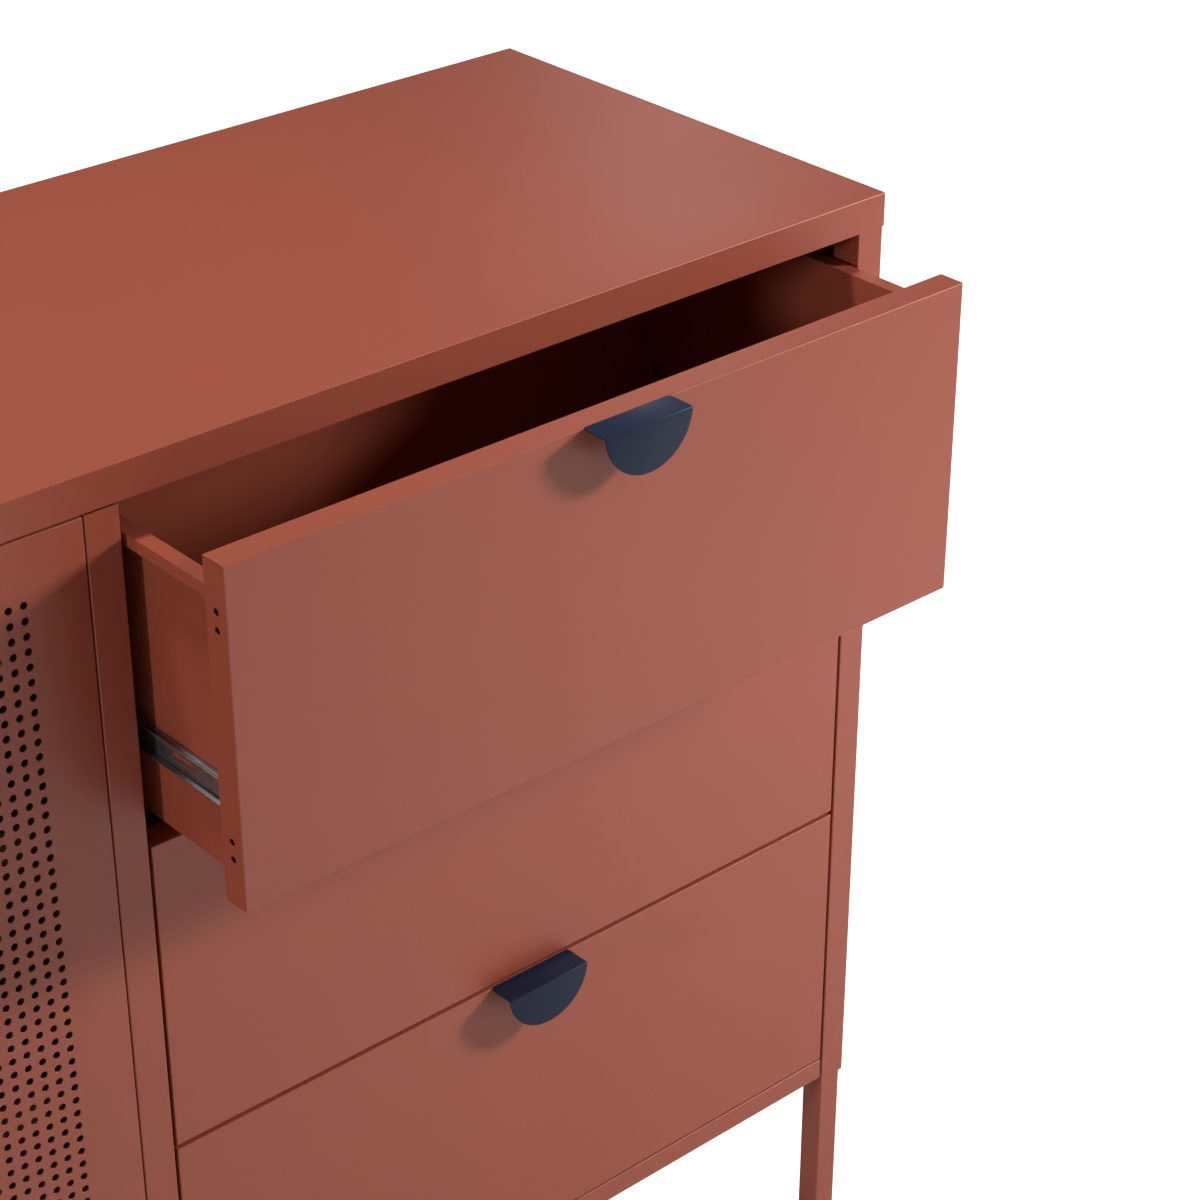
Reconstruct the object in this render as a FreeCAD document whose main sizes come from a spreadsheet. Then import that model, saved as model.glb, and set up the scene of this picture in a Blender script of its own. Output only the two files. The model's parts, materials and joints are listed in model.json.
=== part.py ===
import FreeCAD, Part
import os
import re
import Sketcher

# A steel sideboard on four square legs: a bay with two perforated doors and two shelves at the
# left, and a bay with three drawers on ball-bearing slides at the right. The top drawer stands
# partly open. Millimetres, +X right, +Y back, +Z up; the origin is on the floor, under the middle
# of the whole piece with its open drawer.

DRAWERS = (1, 2, 3)

# Driving sizes: alias, size, what it is.
SIZE_ROWS = [
    ("cabinet_depth", 400, "top, front to back"),
    ("cabinet_height", 900, "floor to top surface"),
    ("bay_width", 599, "clear width of each bay"),
    ("post_width", 23.4, "face of each post and of the partition"),
    ("post_return", 22.8, "depth of the folds behind a post"),
    ("post_top_gap", 1.3, "front of the partition to the apron above it"),
    ("top_overhang", 1.6, "top past the side panels"),
    ("side_drop", 747.2, "top surface down to the lower edge of the side panels"),
    ("steel_gauge", 1.2, "sheet of the carcass"),
    ("bend_radius", 1.0, "outer radius of the carcass folds"),
    ("apron_height", 24.5, "edge of the top"),
    ("apron_hem", 12, "lip turned in under the front apron"),
    ("hem_fit", 1, "hem to the partition behind it"),
    ("rail_height", 18, "front rail of the bottom panels"),
    ("rail_hem", 10, "lip turned in under the rail"),
    ("rail_gap", 1.6, "lowest front and doors to the bottom panel"),
    ("rail_relief", 8, "depth over which the rail stands clear of the posts"),
    ("leg_size", 20, "square leg"),
    ("leg_wall", 1.5, "wall of the leg tube"),
    ("leg_corner", 1.2, "outer corner radius of the leg tube"),
    ("leg_setback", 1, "leg behind the inside of the post face"),
    ("foot_pad", 4, "height of the foot cap under the leg"),
    ("foot_plug", 14, "length of the cap inside the leg"),
    ("foot_fit", 0.15, "plug to the inside of the leg"),
    ("foot_round", 1, "rounding of the foot pad"),
    ("bracket_height", 56, "channels that bring the side panel out to the bay"),
    ("shelf_drop_upper", 229, "top surface down to the upper shelf"),
    ("shelf_drop_lower", 424, "top surface down to the lower shelf"),
    ("shelf_setback", 30, "shelf behind the front"),
    ("shelf_flange", 22, "turned-down edge of a shelf"),
    ("shelf_fit", 1, "shelf to the walls around it"),
    ("angle_leg", 15, "legs of the shelf angles"),
    ("back_screw_edge", 60, "first and last back screws from the ends of the back panel"),
    ("back_screw_head", 3.5, "head radius"),
    ("back_screw_rise", 1.4, "head height"),
    ("back_screw_shank", 1.9, "shank radius"),
    ("back_screw_reach", 9, "shank length"),
    ("screw_fit", 0.1, "shank to its hole"),
    # Drawers
    ("front_height", 230, "drawer front"),
    ("front_depth", 20, "folded depth of fronts"),
    ("front_gap", 3.4, "between drawer fronts"),
    ("front_top_gap", 3.1, "apron to the first drawer front"),
    ("front_side_gap", 2.3, "drawer front to the posts"),
    ("panel_gauge", 1.0, "sheet of fronts, doors and drawer boxes"),
    ("panel_radius", 0.8, "outer radius of the folds of fronts and doors"),
    ("corner_slit", 0.3, "between the upper and lower folds of a front or door and its side folds"),
    ("front_hole", 2.5, "radius of the fixing holes in the side folds of a front"),
    ("front_hole_first", 32.5, "end of the front to its nearest fixing hole"),
    ("front_hole_pitch", 12, "between the two fixing holes"),
    ("drawer_open", 98.6, "how far the top drawer stands open"),
    ("box_side_inset", 11.2, "edge of the front to the outside of the box"),
    ("box_flange_inset", 1.3, "edge of the front to the edge of the box flange"),
    ("box_flange_lip", 8.2, "turned-down edge of the box flange"),
    ("box_top_drop", 19.6, "top of the front down to the box"),
    ("box_bottom_rise", 10, "bottom of the front up to the box"),
    ("box_depth", 300, "drawer box behind its front"),
    ("box_back_inset", 13, "back panel in from the end of the box"),
    ("notch_length", 14.3, "notch in the box side"),
    ("notch_height", 13, "notch in the box side"),
    ("notch_drop", 3.2, "middle of the slide down to the lower edge of the notch"),
    ("notch_inset", 29, "end of the box to the notch"),
    ("liner_fit", 0.2, "liner inside the folds of the front"),
    # Pulls
    ("pull_width", 70.4, "half-moon pull"),
    ("pull_reach", 20.2, "front face to the face of the pull"),
    ("pull_drop", 33.6, "top to the lowest point of the half moon"),
    ("pull_gauge", 1.2, "sheet of the pull"),
    ("pull_lap", 1.2, "pull over the edge of the front"),
    ("pull_tab", 9, "tab of the pull on the front"),
    ("pull_tab_width", 44, "along the front"),
    ("pull_fit", 0.1, "pull to its notch"),
    ("pull_radius", 1.0, "outer radius of the pull's fold"),
    ("rivet_radius", 1.5, "rivets of the pull"),
    ("rivet_head", 2.6, "head radius"),
    ("rivet_rise", 0.8, "head height"),
    ("rivet_spacing", 30, "between the two rivets of a pull"),
    # Slides
    ("slide_length", 300, "each member"),
    ("slide_rise", 66.8, "bottom of the front up to the middle of the slide"),
    ("slide_start", 1, "back of the front to the slide"),
    ("member_gauge", 1.2, "sheet of the slide members"),
    ("inner_height", 20.4, "drawer member"),
    ("inner_flange", 5.4, "width of the drawer member"),
    ("raceway_start", 1.3, "web to the raceway of the drawer member"),
    ("raceway_width", 3.7, "raceway with its two slopes"),
    ("raceway_depth", 1.2, "raceway of the drawer member"),
    ("ball_radius", 1.5, "bearing balls"),
    ("ball_play", 0.1, "ball to each raceway"),
    ("ball_count", 5, "balls in a row"),
    ("ball_pitch", 22, "between balls"),
    ("web_gap", 1.5, "middle member's web to the webs beside it"),
    ("middle_lip", 2.2, "wall to the flange tips of the middle member"),
    ("cabinet_lip", 1.6, "wall to the flange tips of the cabinet member"),
    ("cage_gauge", 0.5, "strip of the ball cages"),
    ("cage_lip", 2.4, "wall to the flange tips of the cages"),
    ("slot_start", 39.6, "front end of the drawer member to its slot"),
    ("slot_length", 22.9, "slot of the drawer member"),
    ("slot_height", 4.2, "slot of the drawer member"),
    ("hook_reach", 1.5, "hook of the drawer member inside the box"),
    ("slide_screw_end", 10, "ends of a member to its screws"),
    ("slide_screw_head", 3.5, "head radius"),
    ("slide_screw_rise", 0.9, "head height"),
    ("slide_screw_shank", 1.9, "shank radius"),
    ("slide_screw_reach", 7, "shank length, cabinet side"),
    ("box_screw_reach", 3.4, "shank length, drawer side"),
    # Doors
    ("door_top_gap", 1.6, "apron to the doors"),
    ("hinge_gap", 0.9, "door to the post at its hinge"),
    ("centre_gap", 3, "between the doors"),
    ("door_hem", 12, "lip turned in at the back of a door"),
    ("pivot_inset", 14, "hinge edge of a door to its pivot"),
    ("pivot_back", 5, "door face to its pivot"),
    ("pin_radius", 2, "hinge pin"),
    ("pin_head", 3.2, "collar of the pin inside the door"),
    ("pin_head_rise", 1.5, "height of that collar"),
    ("pin_play", 0.05, "pin to its bush"),
    ("bush_radius", 3.4, "outside of the bush"),
    ("bush_collar", 4.2, "radius of the bush's collar"),
    ("bush_collar_rise", 1.3, "height of the bush's collar"),
    ("hole_radius", 2.5, "perforation"),
    ("hole_pitch", 10, "perforation"),
    ("first_column", 42.7, "hinge edge to the first column of holes"),
    ("last_column_least", 40, "least free edge to the last column of holes"),
    ("first_row", 41.6, "top of the door to the first row of holes"),
    ("last_row_least", 46, "least bottom of the door to the last row of holes"),
    ("catch_inset", 24, "free edge of a door to its catch"),
    ("catch_width", 22, "magnetic catch"),
    ("catch_depth", 13, "magnetic catch"),
    ("catch_lap", 16, "catch behind the door"),
    ("catch_gap", 0.3, "catch to the back of the door"),
    ("catch_foot", 9, "foot of the catch past its housing"),
    ("catch_foot_rise", 2, "thickness of that foot"),
]

# Places worked out from the driving sizes.
PLACE_ROWS = [
    ("half_width", "1.5 * post_width + bay_width + top_overhang", "middle to the edge of the top"),
    ("side_outer", "half_width - top_overhang", "outside of the side panel"),
    ("side_inner", "side_outer - steel_gauge", "inside of the side panel"),
    ("bay_inner", "post_width / 2", "partition's side of a bay"),
    ("bay_outer", "side_outer - post_width", "side panel's side of a bay"),
    ("bay_middle", "(bay_inner + bay_outer) / 2", "middle of a bay"),
    ("rear_face", "cabinet_depth - top_overhang - steel_gauge", "rear of the frame"),
    ("rear_return", "rear_face - post_return", "start of the rear folds"),
    ("front_plane", "(drawer_open + pull_reach - cabinet_depth) / 2", "front of the cabinet"),
    ("apron_bottom", "cabinet_height - apron_height", "lower edge of the top"),
    ("top_under", "cabinet_height - steel_gauge", "underside of the top sheet"),
    ("side_bottom", "cabinet_height - side_drop", "lower edge of the side panels"),
    ("post_top", "apron_bottom - post_top_gap", "upper end of the partition's front"),
    ("hem_end", "steel_gauge + apron_hem", "back of the apron's hem"),
    ("front_pitch", "front_height + front_gap", "from drawer to drawer"),
    ("floor_top", "apron_bottom - front_top_gap - 3 * front_height - 2 * front_gap - rail_gap",
     "upper face of the bottom panels"),
    ("rail_bottom", "floor_top - rail_height", "lower edge of the rails"),
    ("front_half", "bay_width / 2 - front_side_gap", "half of a drawer front"),
    ("box_half", "front_half - box_side_inset", "half of a drawer box"),
    ("flange_half", "front_half - box_flange_inset", "half of a box over its flanges"),
    ("box_top", "front_height - box_top_drop", "rim of the box"),
    ("box_end", "front_depth + box_depth", "rear of the box"),
    ("back_face", "box_end - box_back_inset", "back panel of the box"),
    ("notch_start", "box_end - notch_inset - notch_length", "front of the notch"),
    ("disc_rise", "(pull_width ^ 2 / 4 - pull_drop ^ 2) / (2 * pull_drop)", "disc centre over the top"),
    ("disc_radius", "pull_drop + disc_rise", "radius of the half moon"),
    ("slide_space", "front_side_gap + box_side_inset", "box to bay wall"),
    ("slide_front", "front_depth + slide_start", "front end of the slides"),
    ("slide_middle", "slide_front + slide_length / 2", "middle of the slides"),
    ("cabinet_web", "slide_space - member_gauge", "inside of the cabinet member's web"),
    ("middle_web", "cabinet_web - web_gap - member_gauge", "inside of the middle member's web"),
    ("inner_half", "inner_height / 2", "drawer member"),
    ("inner_balls", "inner_half - raceway_depth + ball_play + ball_radius", "inner ball row"),
    ("middle_inside", "inner_balls + ball_radius + ball_play", "inside of the middle member"),
    ("outer_balls", "middle_inside + member_gauge + ball_play + ball_radius", "outer ball row"),
    ("cabinet_inside", "outer_balls + ball_radius + ball_play", "inside of the cabinet member"),
    ("inner_ball_out", "raceway_start + raceway_width / 2", "wall to the inner balls"),
    ("outer_ball_out", "inner_ball_out + 1", "wall to the outer balls"),
    ("cage_length", "ball_count * ball_pitch", "ball cages"),
    ("cage_front", "slide_middle - cage_length / 2", "front end of the ball cages"),
    ("door_bottom", "floor_top + rail_gap", "lower edge of the doors"),
    ("door_height", "apron_bottom - door_top_gap - door_bottom", "doors"),
    ("door_width", "(bay_width - 2 * hinge_gap - centre_gap) / 2", "doors"),
    ("door_edge", "bay_inner + hinge_gap", "hinge edge of the right door, from the middle"),
    ("pivot_right", "-door_edge - pivot_inset", "pivot of the right door"),
    ("pivot_left", "-2 * bay_middle - pivot_right", "pivot of the left door"),
    ("column_count", "floor((door_width - first_column - last_column_least) / hole_pitch) + 1", "holes"),
    ("row_count", "floor((door_height - first_row - last_row_least) / hole_pitch) + 1", "holes"),
    ("field_start", "first_column - hole_pitch / 2", "hinge edge to the perforated field"),
    ("field_end", "field_start + column_count * hole_pitch", "hinge edge to the field's far side"),
    ("field_top", "door_height - first_row + hole_pitch / 2", "upper side of the field"),
    ("field_bottom", "field_top - row_count * hole_pitch", "lower side of the field"),
    ("back_screw_line", "side_outer - post_width / 2", "back screws from the middle"),
]

SIZES = {row[0] for row in SIZE_ROWS}
PLACES = {row[0] for row in PLACE_ROWS}

DOC = FreeCAD.newDocument("Sideboard")
NODES = {}


def bound(text, own=frozenset()):
    """The expression with each alias led by its sheet's name, except those of its own sheet."""

    def led(match):
        word = match.group(0)
        if word in own:
            return word
        if word in SIZES:
            return "Sizes." + word
        if word in PLACES:
            return "Places." + word
        return word

    return re.sub(r"[a-z][a-z_]*", led, str(text))


def fill_sheet(name, rows, as_text):
    """A spreadsheet with one alias in each row, beside its name and its meaning."""
    sheet = DOC.addObject("Spreadsheet::Sheet", name)
    for row, (alias, content, meaning) in enumerate(rows, start=1):
        sheet.set(f"A{row}", alias)
        sheet.set(f"B{row}", as_text(content))
        sheet.setAlias(f"B{row}", alias)
        sheet.set(f"C{row}", meaning)
    DOC.recompute()
    return sheet


SHEET = fill_sheet("Sizes", SIZE_ROWS, str)
fill_sheet("Places", PLACE_ROWS, lambda content: "=" + bound(content, PLACES))


def value(text):
    """The number that an expression gives now."""
    return float(SHEET.evalExpression(bound(text)))


def drive(thing, target, text):
    """Binds a property to an expression of the sheets' aliases."""
    thing.setExpression(target, bound(text))


# Sketches and features. An outline is a list of corners, a ring is a tuple (u, v, radius). Across
# X the sketch's own axes are Y and Z, across Y they are X and Z, and across Z they are X and Y.
PLANE_OF = {"X": "YZ_Plane", "Y": "XZ_Plane", "Z": "XY_Plane"}
FLIPPED = {"X": False, "Y": True, "Z": False}


def rectangle(low_u, low_v, high_u, high_v):
    """The four corners of an upright rectangle."""
    return [(low_u, low_v), (high_u, low_v), (high_u, high_v), (low_u, high_v)]


def new_body(name):
    """A PartDesign body."""
    body = DOC.addObject("PartDesign::Body", name)
    body.AllowCompound = True
    return body


def pinned(line, point, u, v):
    """The two constraints that set a point of a sketch, with their expressions."""
    return [
        (Sketcher.Constraint("DistanceX", -1, 1, line, point, value(u)), u),
        (Sketcher.Constraint("DistanceY", -1, 1, line, point, value(v)), v),
    ]


def sketch_across(body, axis, start, figures):
    """A sketch of outlines and rings across an axis of the body, at start along that axis."""
    sketch = body.newObject("Sketcher::SketchObject", "Sketch")
    plane = next(each for each in body.Origin.OriginFeatures if each.Role == PLANE_OF[axis])
    sketch.AttachmentSupport = [(plane, "")]
    sketch.MapMode = "FlatFace"
    drive(sketch, "AttachmentOffset.Base.z", f"-({start})" if FLIPPED[axis] else start)
    lines, driven, plain = [], [], []
    for figure in figures:
        first = len(lines)
        if isinstance(figure, tuple):
            u, v, radius = figure
            centre = FreeCAD.Vector(value(u), value(v), 0)
            lines.append(Part.Circle(centre, FreeCAD.Vector(0, 0, 1), value(radius)))
            driven += pinned(first, 3, u, v)
            driven.append((Sketcher.Constraint("Radius", first, value(radius)), radius))
            continue
        corners = [FreeCAD.Vector(value(u), value(v), 0) for u, v in figure]
        for index, (u, v) in enumerate(figure):
            after = (index + 1) % len(figure)
            lines.append(Part.LineSegment(corners[index], corners[after]))
            driven += pinned(first + index, 1, u, v)
            plain.append(Sketcher.Constraint("Coincident", first + index, 2, first + after, 1))
    sketch.addGeometry(lines, False)
    sketch.addConstraint([constraint for constraint, _ in driven] + plain)
    for index, (_, text) in enumerate(driven):
        drive(sketch, f"Constraints[{index}]", text)
    return sketch


def pad(body, axis, start, length, *figures):
    """Adds metal from start, towards plus along the axis."""
    sketch = sketch_across(body, axis, start, figures)
    feature = body.newObject("PartDesign::Pad", "Pad")
    feature.Profile = sketch
    feature.Reversed = FLIPPED[axis]
    drive(feature, "Length", length)
    return feature


def pocket(body, axis, start, length, *figures):
    """Cuts metal away from start, towards plus along the axis."""
    sketch = sketch_across(body, axis, start, figures)
    feature = body.newObject("PartDesign::Pocket", "Pocket")
    feature.Profile = sketch
    feature.Reversed = not FLIPPED[axis]
    drive(feature, "Length", length)
    return feature


def round_edges(body, radius, *edges):
    """Rounds the straight edges given as (axis along them, and their place across that axis)."""
    DOC.recompute()
    names = []
    sharp = body.Tip
    wanted = [("XYZ".index(axis), value(u), value(v)) for axis, u, v in edges]
    for number, edge in enumerate(sharp.Shape.Edges, start=1):
        start, end = edge.Vertexes[0].Point, edge.Vertexes[-1].Point
        for along, u, v in wanted:
            across = [axis for axis in range(3) if axis != along]
            ends = [(point[across[0]] - u, point[across[1]] - v) for point in (start, end)]
            if all(abs(offset) < 1e-5 for pair in ends for offset in pair):
                names.append(f"Edge{number}")
    feature = body.newObject("PartDesign::Fillet", "Fillet")
    feature.Base = (sharp, names)
    drive(feature, "Radius", radius)
    return feature


def solid_box(low, size):
    """A box with its low corner and its sizes bound to expressions."""
    box = DOC.addObject("Part::Box", "Box")
    for axis, start, target, length in zip("xyz", low, ("Length", "Width", "Height"), size):
        drive(box, f"Placement.Base.{axis}", start)
        drive(box, target, length)
    return box


def solid_cylinder(axis, centre, radius, length):
    """A cylinder that starts at centre and runs towards plus along the axis."""
    cylinder = DOC.addObject("Part::Cylinder", "Cylinder")
    towards = FreeCAD.Vector(*[float(axis == each) for each in "XYZ"])
    turn = FreeCAD.Rotation(FreeCAD.Vector(0, 0, 1), towards)
    cylinder.Placement = FreeCAD.Placement(FreeCAD.Vector(), turn)
    for each, start in zip("xyz", centre):
        drive(cylinder, f"Placement.Base.{each}", start)
    drive(cylinder, "Radius", radius)
    drive(cylinder, "Height", length)
    return cylinder


def fused(*pieces, refined=True):
    """One solid out of pieces that meet."""
    fuse = DOC.addObject("Part::MultiFuse", "Fusion")
    fuse.Shapes = list(pieces)
    fuse.Refine = refined
    return fuse


def grouped(pieces):
    """Separate solids in one sub-part."""
    group = DOC.addObject("Part::Compound", "Group")
    group.Links = list(pieces)
    return group


def mirrored(piece, plane_x="0"):
    """The piece seen in a mirror that stands across X at plane_x."""
    mirror = DOC.addObject("Part::Mirroring", "Mirror")
    mirror.Source = piece
    mirror.Normal = FreeCAD.Vector(1, 0, 0)
    drive(mirror, "Base.x", plane_x)
    return mirror


def both_sides(piece):
    """The piece with its mirror image in the middle plane."""
    return grouped([piece, mirrored(piece)])


def keep(node, thing, place=None):
    """Makes a sub-part of the thing, at a place given as three expressions."""
    thing.Label = node
    if place:
        for axis, start in zip("xyz", place):
            drive(thing, f"Placement.Base.{axis}", start)
    NODES[node] = thing
    return thing


IN_CABINET = ("0", "front_plane", "0")


def screw(axis, centre, sense, head, rise, shank, reach):
    """A pan-head screw: the head rises against sense from centre, and the shank runs with it."""
    across = "XYZ".index(axis)
    head_from, shank_from = list(centre), list(centre)
    if sense > 0:
        head_from[across] = f"{centre[across]} - {rise}"
    else:
        shank_from[across] = f"{centre[across]} - {reach}"
    return fused(
        solid_cylinder(axis, head_from, head, rise),
        solid_cylinder(axis, shank_from, shank, reach),
    )


# Cabinet
def slide_heights():
    """The middle of each drawer's slides above the floor."""
    return [f"door_bottom + {3 - number} * front_pitch + slide_rise" for number in DRAWERS]


def slide_screw_depths():
    """The slide screws behind the front of the closed drawer."""
    return ["slide_front + slide_screw_end", "slide_front + slide_length - slide_screw_end"]


def back_screw_heights():
    """Four heights, evenly spaced over the back panel."""
    return [
        f"side_bottom + back_screw_edge + {step} * (side_drop - apron_height - 2 * back_screw_edge) / 3"
        for step in range(4)
    ]


def bush_holes():
    """The holes for the hinge bushes of the two doors."""
    return [(pivot, "pivot_back", "bush_radius + pin_play") for pivot in ("pivot_right", "pivot_left")]


def top_panel():
    """A tray with its apron turned down all round, and a hem under the front."""
    body = new_body("TopPanel")
    pad(body, "Z", "apron_bottom", "apron_height",
        rectangle("-half_width", "0", "half_width", "cabinet_depth"))
    pocket(body, "Z", "apron_bottom", "apron_height - steel_gauge",
           rectangle("steel_gauge - half_width", "steel_gauge",
                     "half_width - steel_gauge", "cabinet_depth - steel_gauge"))
    pad(body, "Z", "apron_bottom", "steel_gauge",
        rectangle("-bay_outer", "steel_gauge", "bay_outer", "hem_end"))
    pocket(body, "Z", "apron_bottom", "steel_gauge",
           *bush_holes())
    ends = ("-half_width", "half_width")
    depths = ("0", "cabinet_depth")
    round_edges(body, "bend_radius",
                *[("Y", end, "cabinet_height") for end in ends],
                *[("X", depth, "cabinet_height") for depth in depths],
                *[("Z", end, depth) for end in ends for depth in depths])
    keep("top_panel", body, IN_CABINET)


def side_panels():
    """The right panel, folded into a post at the front and at the back, and its mirror image."""
    body = new_body("SidePanel")
    pad(body, "Z", "side_bottom", "apron_bottom - side_bottom", [
        ("side_outer", "0"), ("side_outer", "rear_face"), ("bay_outer", "rear_face"),
        ("bay_outer", "rear_return"), ("bay_outer + steel_gauge", "rear_return"),
        ("bay_outer + steel_gauge", "rear_face - steel_gauge"), ("side_inner", "rear_face - steel_gauge"),
        ("side_inner", "steel_gauge"), ("bay_outer + steel_gauge", "steel_gauge"),
        ("bay_outer + steel_gauge", "post_return"), ("bay_outer", "post_return"), ("bay_outer", "0"),
    ])
    pad(body, "Z", "apron_bottom", "top_under - apron_bottom", [
        ("side_inner", "top_overhang"), ("side_outer", "top_overhang"), ("side_outer", "rear_face"),
        ("bay_outer", "rear_face"), ("bay_outer", "rear_face - steel_gauge"),
        ("side_inner", "rear_face - steel_gauge"),
    ])
    pocket(body, "Y", "rear_face - 2 * steel_gauge", "3 * steel_gauge",
           *[("back_screw_line", rise, "back_screw_shank + screw_fit") for rise in back_screw_heights()])
    round_edges(body, "bend_radius", ("Z", "side_outer", "0"), ("Z", "bay_outer", "0"))
    right = keep("side_panel_right", body, IN_CABINET)
    keep("side_panel_left", mirrored(right))


def partition_panel():
    """A flat box that stands between the bays; its front face is the middle post."""
    body = new_body("Partition")
    pad(body, "Z", "side_bottom", "post_top - side_bottom",
        rectangle("-bay_inner", "0", "bay_inner", "rear_face"),
        rectangle("steel_gauge - bay_inner", "steel_gauge",
                  "bay_inner - steel_gauge", "rear_face - steel_gauge"))
    start = "hem_end + hem_fit"
    pad(body, "Z", "post_top", "top_under - post_top",
        rectangle("-bay_inner", start, "bay_inner", "rear_face"),
        rectangle("steel_gauge - bay_inner", f"{start} + steel_gauge",
                  "bay_inner - steel_gauge", "rear_face - steel_gauge"))
    pocket(body, "X", "bay_inner - 2 * steel_gauge", "3 * steel_gauge",
           *[(depth, rise, "slide_screw_shank + screw_fit")
             for depth in slide_screw_depths() for rise in slide_heights()])
    pocket(body, "Y", "rear_face - 2 * steel_gauge", "3 * steel_gauge",
           *[("0", rise, "back_screw_shank + screw_fit") for rise in back_screw_heights()[::3]])
    round_edges(body, "bend_radius", ("Z", "-bay_inner", "0"), ("Z", "bay_inner", "0"))
    keep("partition_panel", body, IN_CABINET)


def bottom_panel(node, low, high, holes=()):
    """The floor of a bay, turned down all round; its front fold is the rail."""
    body = new_body("BottomPanel")
    pad(body, "X", f"{low} + front_side_gap", f"{high} - {low} - 2 * front_side_gap", [
        ("0", "floor_top"), ("0", "rail_bottom"), ("steel_gauge + rail_hem", "rail_bottom"),
        ("steel_gauge + rail_hem", "rail_bottom + steel_gauge"),
        ("steel_gauge", "rail_bottom + steel_gauge"), ("steel_gauge", "floor_top - steel_gauge"),
        ("rear_face - steel_gauge", "floor_top - steel_gauge"),
        ("rear_face - steel_gauge", "rail_bottom"), ("rear_face", "rail_bottom"),
        ("rear_face", "floor_top"),
    ])
    for edge, inner, overlap in ((low, f"{low} + steel_gauge", f"{low} + 2 * front_side_gap"),
                                 (high, f"{high} - steel_gauge", f"{high} - 2 * front_side_gap")):
        pad(body, "Y", "rail_relief", "rear_face - rail_relief", [
            (edge, "rail_bottom"), (edge, "floor_top"), (overlap, "floor_top"),
            (overlap, "floor_top - steel_gauge"), (inner, "floor_top - steel_gauge"),
            (inner, "rail_bottom"),
        ])
    if holes:
        pocket(body, "Z", "floor_top - steel_gauge", "steel_gauge", *holes)
    round_edges(body, "bend_radius", ("X", "0", "floor_top"), ("X", "0", "rail_bottom"))
    keep(node, body, IN_CABINET)


def back_panel():
    """A plain sheet over the rear folds, screwed down both sides and to the partition."""
    body = new_body("BackPanel")
    pad(body, "Y", "rear_face", "steel_gauge",
        rectangle("-side_outer", "side_bottom", "side_outer", "top_under"))
    heights = back_screw_heights()
    holes = [(line, rise, "back_screw_shank + screw_fit")
             for line in ("-back_screw_line", "back_screw_line") for rise in heights]
    holes += [("0", rise, "back_screw_shank + screw_fit") for rise in heights[::3]]
    pocket(body, "Y", "rear_face", "steel_gauge", *holes)
    keep("back_panel", body, IN_CABINET)
    screws = [screw("Y", (x, "rear_face + steel_gauge", rise), -1, "back_screw_head",
                    "back_screw_rise", "back_screw_shank", "back_screw_reach")
              for x, rise, _ in holes]
    keep("back_screws", grouped(screws), IN_CABINET)


def legs():
    """Four square tubes inside the posts, with a cap in the foot of each."""
    ends = {"right": "side_inner - leg_size", "left": "-side_inner"}
    depths = {"front": "steel_gauge + leg_setback",
              "rear": "rear_face - steel_gauge - leg_setback - leg_size"}
    caps = []
    for row, depth in depths.items():
        for end, start in ends.items():
            body = new_body("Leg")
            pad(body, "Z", "foot_pad", "top_under - foot_pad",
                rectangle(start, depth, f"{start} + leg_size", f"{depth} + leg_size"),
                rectangle(f"{start} + leg_wall", f"{depth} + leg_wall",
                          f"{start} + leg_size - leg_wall", f"{depth} + leg_size - leg_wall"))
            if row == "rear":
                line = "back_screw_line" if end == "right" else "-back_screw_line"
                pocket(body, "Y", f"{depth} + leg_size - leg_wall", "leg_wall",
                       *[(line, rise, "back_screw_shank + screw_fit") for rise in back_screw_heights()])
            round_edges(body, "leg_corner",
                        *[("Z", x, y) for x in (start, f"{start} + leg_size")
                          for y in (depth, f"{depth} + leg_size")])
            keep(f"leg_{row}_{end}", body, IN_CABINET)
            cap = new_body("FootCap")
            inset = "(leg_wall + foot_fit)"
            pad(cap, "Z", "0", "foot_pad",
                rectangle(start, depth, f"{start} + leg_size", f"{depth} + leg_size"))
            pad(cap, "Z", "foot_pad", "foot_plug",
                rectangle(f"{start} + {inset}", f"{depth} + {inset}",
                          f"{start} + leg_size - {inset}", f"{depth} + leg_size - {inset}"))
            round_edges(cap, "foot_round",
                        *[("X", y, "0") for y in (depth, f"{depth} + leg_size")],
                        *[("Y", x, "0") for x in (start, f"{start} + leg_size")])
            caps.append(cap)
    keep("foot_caps", grouped(caps), IN_CABINET)


def side_brackets():
    """Channels that bring the side panels out to the bays: for slides right, for shelves left."""
    brackets = []
    for middle in slide_heights():
        body = new_body("Bracket")
        low, high = f"{middle} - bracket_height / 2", f"{middle} + bracket_height / 2"
        pad(body, "Y", "post_return", "rear_return - post_return", [
            ("bay_outer", low), ("side_inner", low), ("side_inner", f"{low} + steel_gauge"),
            ("bay_outer + steel_gauge", f"{low} + steel_gauge"),
            ("bay_outer + steel_gauge", f"{high} - steel_gauge"),
            ("side_inner", f"{high} - steel_gauge"), ("side_inner", high), ("bay_outer", high),
        ])
        pocket(body, "X", "bay_outer", "steel_gauge",
               *[(depth, middle, "slide_screw_shank + screw_fit") for depth in slide_screw_depths()])
        brackets.append(body)
    for drop in ("shelf_drop_upper", "shelf_drop_lower"):
        body = new_body("Bracket")
        high = f"cabinet_height - {drop} - shelf_flange"
        low = f"{high} - bracket_height"
        pad(body, "Y", "post_return", "rear_return - post_return", [
            ("-bay_outer", low), ("-side_inner", low), ("-side_inner", f"{low} + steel_gauge"),
            ("-bay_outer - steel_gauge", f"{low} + steel_gauge"),
            ("-bay_outer - steel_gauge", f"{high} - steel_gauge"),
            ("-side_inner", f"{high} - steel_gauge"), ("-side_inner", high), ("-bay_outer", high),
        ])
        brackets.append(body)
    keep("side_brackets", grouped(brackets), IN_CABINET)


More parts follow.
